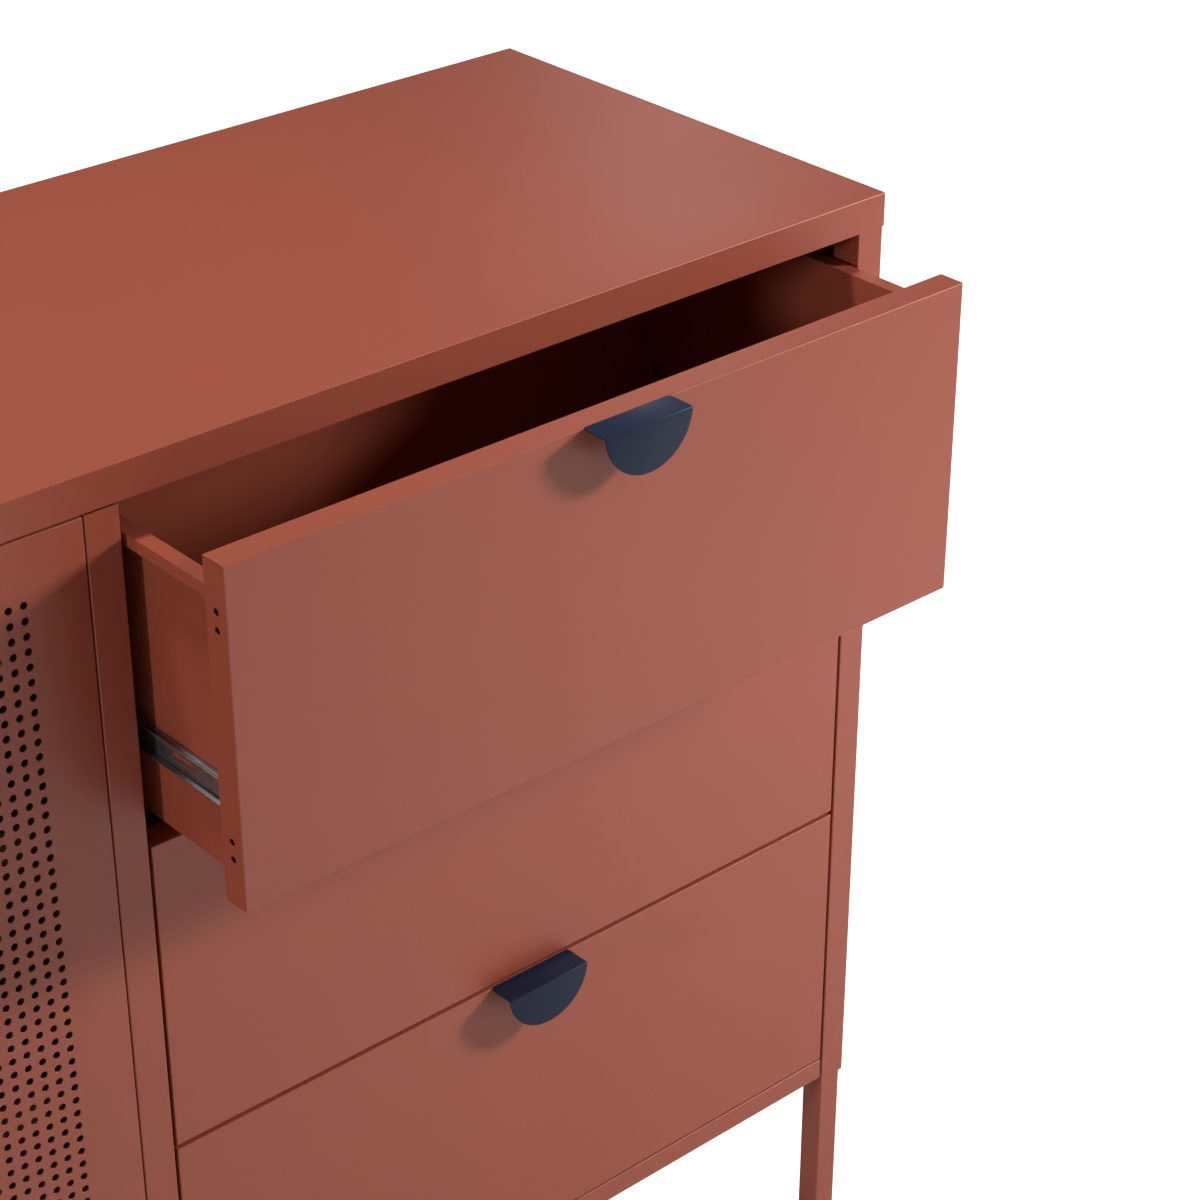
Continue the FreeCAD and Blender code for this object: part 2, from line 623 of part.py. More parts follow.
def shelves():
    """Two trays turned upside down, each lying on a pair of angles."""
    angles = []
    for node, drop in (("shelf_upper", "shelf_drop_upper"), ("shelf_lower", "shelf_drop_lower")):
        top = f"cabinet_height - {drop}"
        low_x, high_x = "shelf_fit - bay_outer", "-bay_inner - shelf_fit"
        body = new_body("Shelf")
        pad(body, "Z", f"{top} - shelf_flange", "shelf_flange",
            rectangle(low_x, "shelf_setback", high_x, "rear_face - shelf_fit"))
        pocket(body, "Z", f"{top} - shelf_flange", "shelf_flange - steel_gauge",
               rectangle(f"{low_x} + steel_gauge", "shelf_setback + steel_gauge",
                         f"{high_x} - steel_gauge", "rear_face - shelf_fit - steel_gauge"))
        round_edges(body, "bend_radius", ("X", "shelf_setback", top))
        keep(node, body, IN_CABINET)
        seat = f"{top} - shelf_flange"
        for wall, sense in (("-bay_inner", "-1"), ("-bay_outer", "1")):
            angle = new_body("Angle")
            pad(angle, "Y", "shelf_setback", "rear_return - shelf_setback", [
                (wall, seat), (f"{wall} + {sense} * angle_leg", seat),
                (f"{wall} + {sense} * angle_leg", f"{seat} - steel_gauge"),
                (f"{wall} + {sense} * steel_gauge", f"{seat} - steel_gauge"),
                (f"{wall} + {sense} * steel_gauge", f"{seat} - angle_leg"),
                (wall, f"{seat} - angle_leg"),
            ])
            angles.append(angle)
    keep("shelf_angles", grouped(angles), IN_CABINET)


def hinge_bushes():
    """Collared bushes in the apron's hem and in the bottom panel, two for each door."""
    bushes = []
    for pivot in ("pivot_right", "pivot_left"):
        for start, collar in (("apron_bottom", "apron_bottom - bush_collar_rise"),
                              ("floor_top - steel_gauge", "floor_top")):
            bush = fused(solid_cylinder("Z", (pivot, "pivot_back", start), "bush_radius", "steel_gauge"),
                         solid_cylinder("Z", (pivot, "pivot_back", collar), "bush_collar",
                                        "bush_collar_rise"))
            bore = solid_cylinder("Z", (pivot, "pivot_back", f"{start} - 2 * bush_collar_rise"),
                                  "pin_radius + pin_play", "steel_gauge + 4 * bush_collar_rise")
            bored = DOC.addObject("Part::Cut", "Bush")
            bored.Base = bush
            bored.Tool = bore
            bushes.append(bored)
    keep("hinge_bushes", grouped(bushes), IN_CABINET)


def door_catches():
    """A magnetic catch behind the upper corner of each door, hung from the top."""
    catches = []
    for sense in ("1", "-1"):
        middle = f"-bay_middle + {sense} * (centre_gap / 2 + catch_inset)"
        face = "front_depth + catch_gap"
        body = new_body("Catch")
        pad(body, "Z", "door_bottom + door_height - catch_lap",
            "top_under - door_bottom - door_height + catch_lap",
            rectangle(f"{middle} - catch_width / 2", face,
                      f"{middle} + catch_width / 2", f"{face} + catch_depth"))
        pad(body, "Z", "top_under - catch_foot_rise", "catch_foot_rise",
            rectangle(f"{middle} - catch_width / 2", f"{face} + catch_depth / 2",
                      f"{middle} + catch_width / 2", f"{face} + catch_depth + catch_foot"))
        catches.append(body)
    keep("door_catches", grouped(catches), IN_CABINET)


# Slides, in the drawer's frame: X from the middle of the bay, Y from the face of the closed
# drawer, Z from the lower edge of its front. Each is drawn at the left and mirrored.
def outward(distance):
    """X at a distance out from the left side of the drawer box."""
    return f"-box_half - ({distance})"


def channel(name, web_in, web_out, tip, inside, outside, start, length):
    """A C of sheet metal along Y: its web between two distances, its flanges reaching to tip."""
    body = new_body(name)
    pad(body, "Y", start, length, [
        (outward(web_out), f"slide_rise - {outside}"), (outward(tip), f"slide_rise - {outside}"),
        (outward(tip), f"slide_rise - {inside}"), (outward(web_in), f"slide_rise - {inside}"),
        (outward(web_in), f"slide_rise + {inside}"), (outward(tip), f"slide_rise + {inside}"),
        (outward(tip), f"slide_rise + {outside}"), (outward(web_out), f"slide_rise + {outside}"),
    ])
    return body


def cabinet_members():
    """The outer members, screwed to the partition and to the brackets."""
    body = channel("CabinetMember", "cabinet_web", "slide_space", "cabinet_lip", "cabinet_inside",
                   "(cabinet_inside + member_gauge)", "slide_front", "slide_length")
    pocket(body, "X", outward("slide_space"), "member_gauge",
           *[(depth, "slide_rise", "slide_screw_shank + screw_fit") for depth in slide_screw_depths()])
    return both_sides(body)


def cabinet_screws():
    """The screws of one pair of outer members."""
    screws = [screw("X", (outward("cabinet_web"), depth, "slide_rise"), -1, "slide_screw_head",
                    "slide_screw_rise", "slide_screw_shank", "slide_screw_reach")
              for depth in slide_screw_depths()]
    return both_sides(grouped(screws))


def middle_members():
    """The members that run out halfway."""
    body = channel("MiddleMember", "middle_web", "(middle_web + member_gauge)", "middle_lip",
                   "middle_inside", "(middle_inside + member_gauge)", "slide_front", "slide_length")
    return both_sides(body)


def drawer_members():
    """The members on the drawer, with a raceway in each flange, a slot and a hook."""
    body = new_body("DrawerMember")
    slope = "raceway_depth"
    valley_end = "raceway_start + raceway_width"
    crest = "(inner_half - raceway_depth / 2)"
    upper = [
        ("0", "inner_half"), ("raceway_start", "inner_half"),
        (f"raceway_start + {slope}", "(inner_half - raceway_depth)"),
        (f"{valley_end} - {slope}", "(inner_half - raceway_depth)"),
        (f"{valley_end} - {slope} / 2", crest), ("inner_flange", crest),
        ("inner_flange", f"({crest} - member_gauge)"),
        (f"{valley_end} - {slope} / 2", f"({crest} - member_gauge)"),
        (f"{valley_end} - {slope}", "(inner_half - raceway_depth - member_gauge)"),
        (f"raceway_start + {slope}", "(inner_half - raceway_depth - member_gauge)"),
        ("raceway_start", "(inner_half - member_gauge)"),
        ("member_gauge", "(inner_half - member_gauge)"),
    ]
    outline = [(outward(out), f"slide_rise + {rise}") for out, rise in upper]
    outline += [(outward(out), f"slide_rise - {rise}") for out, rise in reversed(upper)]
    pad(body, "Y", "slide_front", "slide_length", outline)
    slot_from = "slide_front + slot_start"
    half = "slot_height / 2"
    pocket(body, "X", outward("member_gauge"), "member_gauge",
           rectangle(f"{slot_from} + {half}", f"slide_rise - {half}",
                     f"{slot_from} + slot_length - {half}", f"slide_rise + {half}"))
    pocket(body, "X", outward("member_gauge"), "member_gauge", (f"{slot_from} + {half}", "slide_rise", half))
    pocket(body, "X", outward("member_gauge"), "member_gauge",
           (f"{slot_from} + slot_length - {half}", "slide_rise", half))
    pocket(body, "X", outward("member_gauge"), "member_gauge",
           *[(depth, "slide_rise", "slide_screw_shank + screw_fit") for depth in slide_screw_depths()])
    pad(body, "X", outward("0"), "panel_gauge + hook_reach",
        rectangle("notch_start + liner_fit", "slide_rise - notch_drop + liner_fit",
                  "notch_start + liner_fit + member_gauge",
                  "slide_rise - notch_drop + notch_height - 2 * member_gauge"))
    return both_sides(body)


def ball_cage(name, web_in, tip_row, ball_out):
    """A C of thin strip that carries a row of balls in each flange, at the left and at the right."""
    body = channel(name, web_in, f"({web_in} + cage_gauge)", "cage_lip", f"({tip_row} - cage_gauge / 2)",
                   f"({tip_row} + cage_gauge / 2)", "cage_front", "cage_length")
    balls = []
    for step in range(round(value("ball_count"))):
        for rise in (f"slide_rise - {tip_row}", f"slide_rise + {tip_row}"):
            ball = DOC.addObject("Part::Sphere", "Ball")
            place = (outward(ball_out), f"cage_front + ({step} + 0.5) * ball_pitch", rise)
            for axis, start in zip("xyz", place):
                drive(ball, f"Placement.Base.{axis}", start)
            drive(ball, "Radius", "ball_radius")
            balls.append(ball)
    return both_sides(fused(body, *balls))


# Drawers
def rivet_places():
    """X of the two rivets of a pull."""
    return ["-rivet_spacing / 2", "rivet_spacing / 2"]


def pull_body():
    """A half moon hung from a ledge, with a tab on the front. X and Z from the middle of its top."""
    body = new_body("Pull")
    face = "-pull_reach"
    pad(body, "Y", face, "pull_gauge", ("0", "disc_rise", "disc_radius"))
    pocket(body, "Y", face, "pull_gauge",
           rectangle("-disc_radius - pull_gauge", "0", "disc_radius + pull_gauge",
                     "disc_rise + disc_radius + pull_gauge"))
    pad(body, "Z", "-pull_gauge", "pull_gauge",
        rectangle("-pull_width / 2", face, "pull_width / 2", "0"))
    pad(body, "Z", "-pull_gauge", "pull_gauge",
        rectangle("pull_gauge - pull_width / 2", "-pull_gauge", "pull_width / 2 - pull_gauge", "pull_lap"))
    pad(body, "Y", "-pull_gauge", "pull_gauge",
        rectangle("-pull_tab_width / 2", "-pull_tab", "pull_tab_width / 2", "-pull_gauge"))
    pocket(body, "Y", "-pull_gauge", "pull_gauge",
           *[(x, "-pull_tab / 2 - pull_gauge / 2", "rivet_radius + pull_fit") for x in rivet_places()])
    round_edges(body, "pull_radius", ("X", face, "0"))
    return body


def pull_notch(body, axis, low, high, edge, inwards):
    """Cuts the place of a pull's lap out of the folded edge of a front or a door."""
    size = "(pull_gauge + pull_fit)"
    start = f"{edge} - {size}" if inwards < 0 else f"{edge}"
    if axis == "X":
        figure = rectangle(low, start, high, f"{start} + {size}")
    else:
        figure = rectangle(start, low, f"{start} + {size}", high)
    pocket(body, "Y", "0", "pull_lap + pull_fit", figure)


def corner_slits(body, low, high, top):
    """Parts the side folds of a tray from its upper and lower folds, behind the bend."""
    figures = [rectangle(x, z, f"{x} + panel_gauge", f"{z} + corner_slit")
               for x in (low, f"{high} - panel_gauge")
               for z in ("panel_gauge", f"{top} - panel_gauge - corner_slit")]
    pocket(body, "Y", "panel_radius", "front_depth - panel_radius", *figures)


def drawer_front():
    """A tray, open at the back, with its four sides folded in."""
    body = new_body("DrawerFront")
    pad(body, "Y", "0", "front_depth", rectangle("-front_half", "0", "front_half", "front_height"))
    pocket(body, "Y", "panel_gauge", "front_depth - panel_gauge",
           rectangle("panel_gauge - front_half", "panel_gauge",
                     "front_half - panel_gauge", "front_height - panel_gauge"))
    reach = "(pull_width / 2 - pull_gauge + pull_fit)"
    pull_notch(body, "X", f"-{reach}", reach, "front_height", -1)
    rows = ["front_hole_first", "front_hole_first + front_hole_pitch",
            "front_height - front_hole_first - front_hole_pitch", "front_height - front_hole_first"]
    for start in ("-front_half", "front_half - panel_gauge"):
        pocket(body, "X", start, "panel_gauge", *[("front_depth / 2", row, "front_hole") for row in rows])
    pocket(body, "Y", "0", "panel_gauge",
           *[(x, "front_height - pull_tab / 2 - pull_gauge / 2", "rivet_radius + pull_fit")
             for x in rivet_places()])
    round_edges(body, "panel_radius",
                ("Z", "-front_half", "0"), ("Z", "front_half", "0"), ("X", "0", "0"),
                ("X", "0", "front_height"))
    corner_slits(body, "-front_half", "front_half", "front_height")
    return body


def drawer_liner():
    """The sheet that closes the back of a front."""
    inset = "(panel_gauge + liner_fit)"
    return solid_box((f"{inset} - front_half", "front_depth - panel_gauge", inset),
                     (f"2 * (front_half - {inset})", "panel_gauge", f"front_height - 2 * {inset}"))


def drawer_box():
    """Bottom and sides in one folded sheet, with a flange and a lip along both rims."""
    body = new_body("DrawerBox")
    right = [
        ("box_half - panel_gauge", "box_bottom_rise + panel_gauge"), ("box_half - panel_gauge", "box_top"),
        ("flange_half", "box_top"), ("flange_half", "box_top - box_flange_lip"),
        ("flange_half - panel_gauge", "box_top - box_flange_lip"),
        ("flange_half - panel_gauge", "box_top - panel_gauge"),
        ("box_half", "box_top - panel_gauge"), ("box_half", "box_bottom_rise"),
    ]
    left = [(f"-({x})", z) for x, z in reversed(right)]
    pad(body, "Y", "front_depth", "box_depth", right + left)
    for start in ("-box_half", "box_half - panel_gauge"):
        pocket(body, "X", start, "panel_gauge",
               rectangle("notch_start", "slide_rise - notch_drop", "notch_start + notch_length",
                         "slide_rise - notch_drop + notch_height"))
        pocket(body, "X", start, "panel_gauge",
               *[(depth, "slide_rise", "slide_screw_shank + screw_fit") for depth in slide_screw_depths()])
    return body


def drawer_back():
    """The back of the box, with a flange along each side, towards the rear."""
    body = new_body("DrawerBack")
    edge = "(box_half - panel_gauge)"
    pad(body, "Z", "box_bottom_rise + panel_gauge", "box_top - box_bottom_rise - panel_gauge", [
        (f"-{edge}", "back_face"), (edge, "back_face"), (edge, "box_end"),
        (f"{edge} - panel_gauge", "box_end"), (f"{edge} - panel_gauge", "back_face + panel_gauge"),
        (f"panel_gauge - {edge}", "back_face + panel_gauge"), (f"panel_gauge - {edge}", "box_end"),
        (f"-{edge}", "box_end"),
    ])
    for start in (f"-{edge}", f"{edge} - panel_gauge"):
        pocket(body, "X", start, "panel_gauge",
               (slide_screw_depths()[1], "slide_rise", "slide_screw_shank + screw_fit"))
    return body


def drawer_screws():
    """Two screws in each drawer member, and the two rivets of the pull."""
    screws = [screw("X", (outward("member_gauge"), depth, "slide_rise"), 1, "slide_screw_head",
                    "slide_screw_rise", "slide_screw_shank", "box_screw_reach")
              for depth in slide_screw_depths()]
    rivets = [screw("Y", (x, "-pull_gauge", "front_height - pull_tab / 2 - pull_gauge / 2"), 1,
                    "rivet_head", "rivet_rise", "rivet_radius", "pull_gauge + panel_gauge + rivet_rise")
              for x in rivet_places()]
    return grouped([both_sides(grouped(screws)), grouped(rivets)])


def drawers():
    """Three drawers with their slides; only the top one stands open."""
    cabinet_side = []
    for number in DRAWERS:
        rise = f"door_bottom + {3 - number} * front_pitch"
        opened = "drawer_open" if number == 1 else "0"
        closed_place = ("bay_middle", "front_plane", rise)
        half_place = ("bay_middle", f"front_plane - {opened} / 2", rise)
        open_place = ("bay_middle", f"front_plane - {opened}", rise)
        keep(f"drawer_{number}_front", drawer_front(), open_place)
        keep(f"drawer_{number}_liner", with_own_place(drawer_liner()), open_place)
        keep(f"drawer_{number}_box", drawer_box(), open_place)
        keep(f"drawer_{number}_back", drawer_back(), open_place)
        keep(f"drawer_{number}_pull", pull_body(),
             ("bay_middle", f"front_plane - {opened}", f"{rise} + front_height"))
        keep(f"drawer_{number}_screws", drawer_screws(), open_place)
        keep(f"slide_{number}_drawer_members", drawer_members(), open_place)
        keep(f"slide_{number}_middle_members", middle_members(), closed_place)
        keep(f"slide_{number}_cabinet_members", cabinet_members(), closed_place)
        keep(f"slide_{number}_inner_cages",
             ball_cage("InnerCage", "(middle_web - 2 * cage_gauge)", "inner_balls", "inner_ball_out"),
             half_place)
        keep(f"slide_{number}_outer_cages",
             ball_cage("OuterCage", "(cabinet_web - web_gap + cage_gauge)", "outer_balls",
                       "outer_ball_out"), closed_place)
        screws = cabinet_screws()
        for axis, start in zip("xyz", ("bay_middle", "front_plane", rise)):
            drive(screws, f"Placement.Base.{axis}", start)
        cabinet_side.append(screws)
    keep("slide_screws", grouped(cabinet_side))


def with_own_place(piece):
    """The piece inside a group, so that the group's place comes on top of its own."""
    return grouped([piece])


# Doors, in the right door's frame: X from its hinge edge, going minus, Y from its face and Z from
# its lower edge.
def perforated_field():
    """The middle of a door's sheet: strips with one column of round holes each, side by side."""
    body = new_body("PerforatedField")
    near, far = "-field_start", "-field_start - hole_pitch"
    holes = [("-field_start - hole_pitch / 2", f"field_bottom + {row + 0.5} * hole_pitch", "hole_radius")
             for row in range(round(value("row_count")))]
    strip = pad(body, "Y", "0", "panel_gauge", rectangle(far, "field_bottom", near, "field_top"), *holes)
    columns = body.newObject("PartDesign::LinearPattern", "Columns")
    columns.Originals = [strip]
    columns.Direction = (strip.Profile[0], ["H_Axis"])
    columns.Reversed = True
    columns.Refine = False
    drive(columns, "Length", "(column_count - 1) * hole_pitch")
    drive(columns, "Occurrences", "column_count")
    body.Tip = columns
    return body


def door_tray():
    """A door's folded rim and plain border, with a window for the perforated field."""
    body = new_body("DoorTray")
    pad(body, "Y", "0", "front_depth", rectangle("-door_width", "0", "0", "door_height"))
    pocket(body, "Y", "panel_gauge", "front_depth - panel_gauge",
           rectangle("panel_gauge - door_width", "panel_gauge", "-panel_gauge", "door_height - panel_gauge"))
    hem = "(panel_gauge + door_hem)"
    pad(body, "Y", "front_depth - panel_gauge", "panel_gauge",
        rectangle("panel_gauge - door_width", "panel_gauge", "-panel_gauge", "door_height - panel_gauge"),
        rectangle(f"{hem} - door_width", hem, f"-{hem}", f"door_height - {hem}"))
    pocket(body, "Y", "0", "panel_gauge",
           rectangle("-field_end", "field_bottom", "-field_start", "field_top"))
    reach = "(pull_width / 2 - pull_gauge + pull_fit)"
    pull_notch(body, "Z", f"door_height / 2 - {reach}", f"door_height / 2 + {reach}", "-door_width", 1)
    pocket(body, "Y", "0", "panel_gauge",
           *[("pull_tab / 2 + pull_gauge / 2 - door_width", f"door_height / 2 + {x}",
              "rivet_radius + pull_fit") for x in rivet_places()])
    for start in ("0", "door_height - panel_gauge"):
        pocket(body, "Z", start, "panel_gauge", ("-pivot_inset", "pivot_back", "pin_radius + pin_play"))
    round_edges(body, "panel_radius", ("Z", "-door_width", "0"), ("Z", "0", "0"), ("X", "0", "0"),
                ("X", "0", "door_height"))
    corner_slits(body, "-door_width", "0", "door_height")
    return body


def hinge_pins():
    """A collared pin through the upper and the lower fold of the door."""
    reach = "(panel_gauge + door_top_gap + steel_gauge)"
    low_reach = "(panel_gauge + rail_gap + steel_gauge)"
    upper = fused(
        solid_cylinder("Z", ("-pivot_inset", "pivot_back", "door_height - panel_gauge - pin_head_rise"),
                       "pin_head", "pin_head_rise"),
        solid_cylinder("Z", ("-pivot_inset", "pivot_back", "door_height - panel_gauge"),
                       "pin_radius", reach))
    lower = fused(
        solid_cylinder("Z", ("-pivot_inset", "pivot_back", "panel_gauge"), "pin_head", "pin_head_rise"),
        solid_cylinder("Z", ("-pivot_inset", "pivot_back", f"panel_gauge - {low_reach}"),
                       "pin_radius", low_reach))
    return grouped([upper, lower])


def door_rivets():
    """The two rivets of a door's pull."""
    rivets = [screw("Y", ("pull_tab / 2 + pull_gauge / 2 - door_width", "-pull_gauge",
                          f"door_height / 2 + {x}"), 1, "rivet_head", "rivet_rise", "rivet_radius",
                    "pull_gauge + panel_gauge + rivet_rise")
              for x in rivet_places()]
    return rivets


def doors():
    """The right door, hinged at the partition, and the left door, its mirror image."""
    place = ("-door_edge", "front_plane", "door_bottom")
    tray = fused(door_tray(), perforated_field(), refined=False)
    pull = pull_body()
    turn = FreeCAD.Rotation(FreeCAD.Vector(0, 1, 0), -90)
    pull.Placement = FreeCAD.Placement(FreeCAD.Vector(), turn)
    fittings = grouped([hinge_pins()] + door_rivets())
    right = {
        "panel": keep("door_right_panel", tray, place),
        "pull": keep("door_right_pull", pull,
                     ("-door_edge - door_width", "front_plane", "door_bottom + door_height / 2")),
        "pins_and_rivets": keep("door_right_pins_and_rivets", fittings, place),
    }
    for name, piece in right.items():
        keep(f"door_left_{name}", mirrored(piece, "-bay_middle"))


def check(things):
    """Stops at anything that failed, at a cut that took nothing and at an unsound shape."""
    for thing in DOC.Objects:
        if {"Invalid", "Error"} & set(thing.State):
            raise RuntimeError(f"{thing.Name} ({thing.Label}) failed: {thing.State}")
        if thing.TypeId == "PartDesign::Pocket":
            if thing.Shape.Volume >= thing.BaseFeature.Shape.Volume - 1e-6:
                raise RuntimeError(f"{thing.Name} of {thing.getParentGroup()} cuts nothing")
    for node, thing in things.items():
        if thing.Shape.isNull() or not thing.Shape.Solids or not thing.Shape.isValid():
            raise RuntimeError(f"{node} has no sound shape")


def main():
    """Builds the document, checks it and writes one STEP file for each sub-part."""
    top_panel()
    side_panels()
    partition_panel()
    bottom_panel("bottom_panel_right", "bay_inner", "bay_outer")
    bottom_panel("bottom_panel_left", "-bay_outer", "-bay_inner", bush_holes())
    back_panel()
    legs()
    side_brackets()
    shelves()
    hinge_bushes()
    door_catches()
    drawers()
    doors()
    DOC.recompute()
    check(NODES)
    os.makedirs("parts", exist_ok=True)
    for node, thing in NODES.items():
        thing.Shape.exportStep(f"parts/{node}.step")
        print(f"{node}: {len(thing.Shape.Solids)} solids, {thing.Shape.Volume:.1f} mm3")


main()
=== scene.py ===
"""Looks of a steel sideboard: powder-coated sheet, ball-bearing slides and half-moon pulls."""
import json
import logging
import math
from dataclasses import dataclass
from enum import Enum

import bmesh
import bpy
import numpy as np
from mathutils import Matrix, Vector


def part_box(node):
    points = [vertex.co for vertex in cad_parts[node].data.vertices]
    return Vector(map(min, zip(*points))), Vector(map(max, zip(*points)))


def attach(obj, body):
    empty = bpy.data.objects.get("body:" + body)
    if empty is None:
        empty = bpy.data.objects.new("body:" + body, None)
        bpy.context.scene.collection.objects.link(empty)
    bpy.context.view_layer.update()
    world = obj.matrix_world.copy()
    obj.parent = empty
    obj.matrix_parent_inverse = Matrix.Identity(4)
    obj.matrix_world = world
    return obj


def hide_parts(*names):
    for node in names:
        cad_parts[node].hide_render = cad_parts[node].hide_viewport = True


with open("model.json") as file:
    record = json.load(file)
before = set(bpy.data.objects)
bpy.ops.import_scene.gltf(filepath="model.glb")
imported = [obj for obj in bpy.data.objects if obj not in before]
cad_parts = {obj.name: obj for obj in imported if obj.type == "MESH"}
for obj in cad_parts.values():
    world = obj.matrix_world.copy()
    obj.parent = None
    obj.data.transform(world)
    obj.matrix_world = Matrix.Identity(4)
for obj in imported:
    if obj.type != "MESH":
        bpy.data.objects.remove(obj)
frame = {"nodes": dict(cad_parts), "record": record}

LOG = logging.getLogger("sideboard")
MM = 0.001
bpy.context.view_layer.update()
DRAWERS = (1, 2, 3)
SHARP = 35.0
Colour = tuple[float, float, float]
Point = tuple[float, float, float]


class Finish(Enum):
    """The record's material slots."""

    TERRACOTTA = "terracotta_steel"
    NAVY = "navy_steel"
    ZINC = "zinc_steel"
    BALL = "ball_steel"
    PLASTIC = "black_plastic"
    NYLON = "nylon"


class Graph:
    """A material's node tree, with one short call for each kind of node."""

    def __init__(self, name: str) -> None:
        """Starts an empty tree with an output and a Principled shader.

        Args:
            name: the material's name.
        """
        self.material = bpy.data.materials.new(name)
        self.material.use_nodes = True
        self.tree = self.material.node_tree
        self.tree.nodes.clear()
        self.output = self.tree.nodes.new("ShaderNodeOutputMaterial")
        self.shader = self.tree.nodes.new("ShaderNodeBsdfPrincipled")
        self.link(self.shader.outputs["BSDF"], self.output.inputs["Surface"])
        self.place = self.tree.nodes.new("ShaderNodeTexCoord").outputs["Object"]

    def link(self, source: bpy.types.NodeSocket, target: bpy.types.NodeSocket) -> None:
        """Joins two sockets.

        Args:
            source: an output.
            target: an input.
        """
        self.tree.links.new(source, target)

    def stretched(self, scale: Point) -> bpy.types.NodeSocket:
        """Object coordinates with a scale of their own on each axis.

        Args:
            scale: the three factors.

        Returns:
            The scaled coordinates.
        """
        node = self.tree.nodes.new("ShaderNodeMapping")
        node.inputs["Scale"].default_value = scale
        self.link(self.place, node.inputs["Vector"])
        return node.outputs["Vector"]

    def noise(self, scale: float, detail: float,
              place: bpy.types.NodeSocket | None = None) -> bpy.types.NodeSocket:
        """Fractal noise between 0 and 1.

        Args:
            scale: cells per metre.
            detail: octaves.
            place: coordinates, the object's own if left out.

        Returns:
            The noise value.
        """
        node = self.tree.nodes.new("ShaderNodeTexNoise")
        node.inputs["Scale"].default_value = scale
        node.inputs["Detail"].default_value = detail
        self.link(place or self.place, node.inputs["Vector"])
        return node.outputs["Fac"]

    def cells(self, scale: float) -> bpy.types.NodeSocket:
        """Distance to the nearest of scattered points.

        Args:
            scale: points per metre.

        Returns:
            The distance.
        """
        node = self.tree.nodes.new("ShaderNodeTexVoronoi")
        node.inputs["Scale"].default_value = scale
        self.link(self.place, node.inputs["Vector"])
        return node.outputs["Distance"]

    def ramped(self, value: bpy.types.NodeSocket, low: float, high: float,
               from_low: float = 0.3, from_high: float = 0.7) -> bpy.types.NodeSocket:
        """A value carried over from one range to another, held at its ends.

        Args:
            value: the value.
            low: what from_low becomes.
            high: what from_high becomes.
            from_low: start of the value's range.
            from_high: end of the value's range.

        Returns:
            The new value.
        """
        node = self.tree.nodes.new("ShaderNodeMapRange")
        for name, number in (("From Min", from_low), ("From Max", from_high),
                             ("To Min", low), ("To Max", high)):
            node.inputs[name].default_value = number
        self.link(value, node.inputs["Value"])
        return node.outputs["Result"]

    def blended(self, share: bpy.types.NodeSocket, first: Colour,
                second: Colour) -> bpy.types.NodeSocket:
        """A colour between two others.

        Args:
            share: 0 for the first, 1 for the second.
            first: linear colour.
            second: linear colour.

        Returns:
            The colour.
        """
        node = self.tree.nodes.new("ShaderNodeMix")
        node.data_type = "RGBA"
        node.inputs[6].default_value = (*first, 1.0)
        node.inputs[7].default_value = (*second, 1.0)
        self.link(share, node.inputs[0])
        return node.outputs[2]

    def bump(self, height: bpy.types.NodeSocket, depth: float, strength: float,
             under: bpy.types.NodeSocket | None = None) -> bpy.types.NodeSocket:
        """A normal tilted by a height.

        Args:
            height: the height, 0 to 1.
            depth: metres between 0 and 1.
            strength: share of the effect.
            under: a normal that this one goes on.

        Returns:
            The normal.
        """
        node = self.tree.nodes.new("ShaderNodeBump")
        node.inputs["Strength"].default_value = strength
        node.inputs["Distance"].default_value = depth
        self.link(height, node.inputs["Height"])
        if under is not None:
            self.link(under, node.inputs["Normal"])
        return node.outputs["Normal"]


def shade(colour: Colour, factor: float) -> Colour:
    """A colour made lighter or darker.

    Args:
        colour: linear colour.
        factor: below 1 for darker, above 1 for lighter.

    Returns:
        The colour.
    """
    return tuple(channel * factor for channel in colour)


def linear(red: int, green: int, blue: int) -> Colour:
    """A colour given in 0 to 255 as a screen shows it, in linear light.

    Args:
        red: 0 to 255.
        green: 0 to 255.
        blue: 0 to 255.

    Returns:
        The three linear values.
    """
    values = np.array([red, green, blue]) / 255.0
    low = values <= 0.04045
    return tuple(np.where(low, values / 12.92, ((values + 0.055) / 1.055) ** 2.4).tolist())


def quads(points: np.ndarray) -> np.ndarray:
    """The faces between the rows and columns of a grid.

    Args:
        points: array of rows, columns and x, y, z.

    Returns:
        Array of faces, four corners and x, y, z.
    """
    around = [points[:-1, :-1], points[1:, :-1], points[1:, 1:], points[:-1, 1:]]
    return np.stack(around, axis=2).reshape(-1, 4, 3)


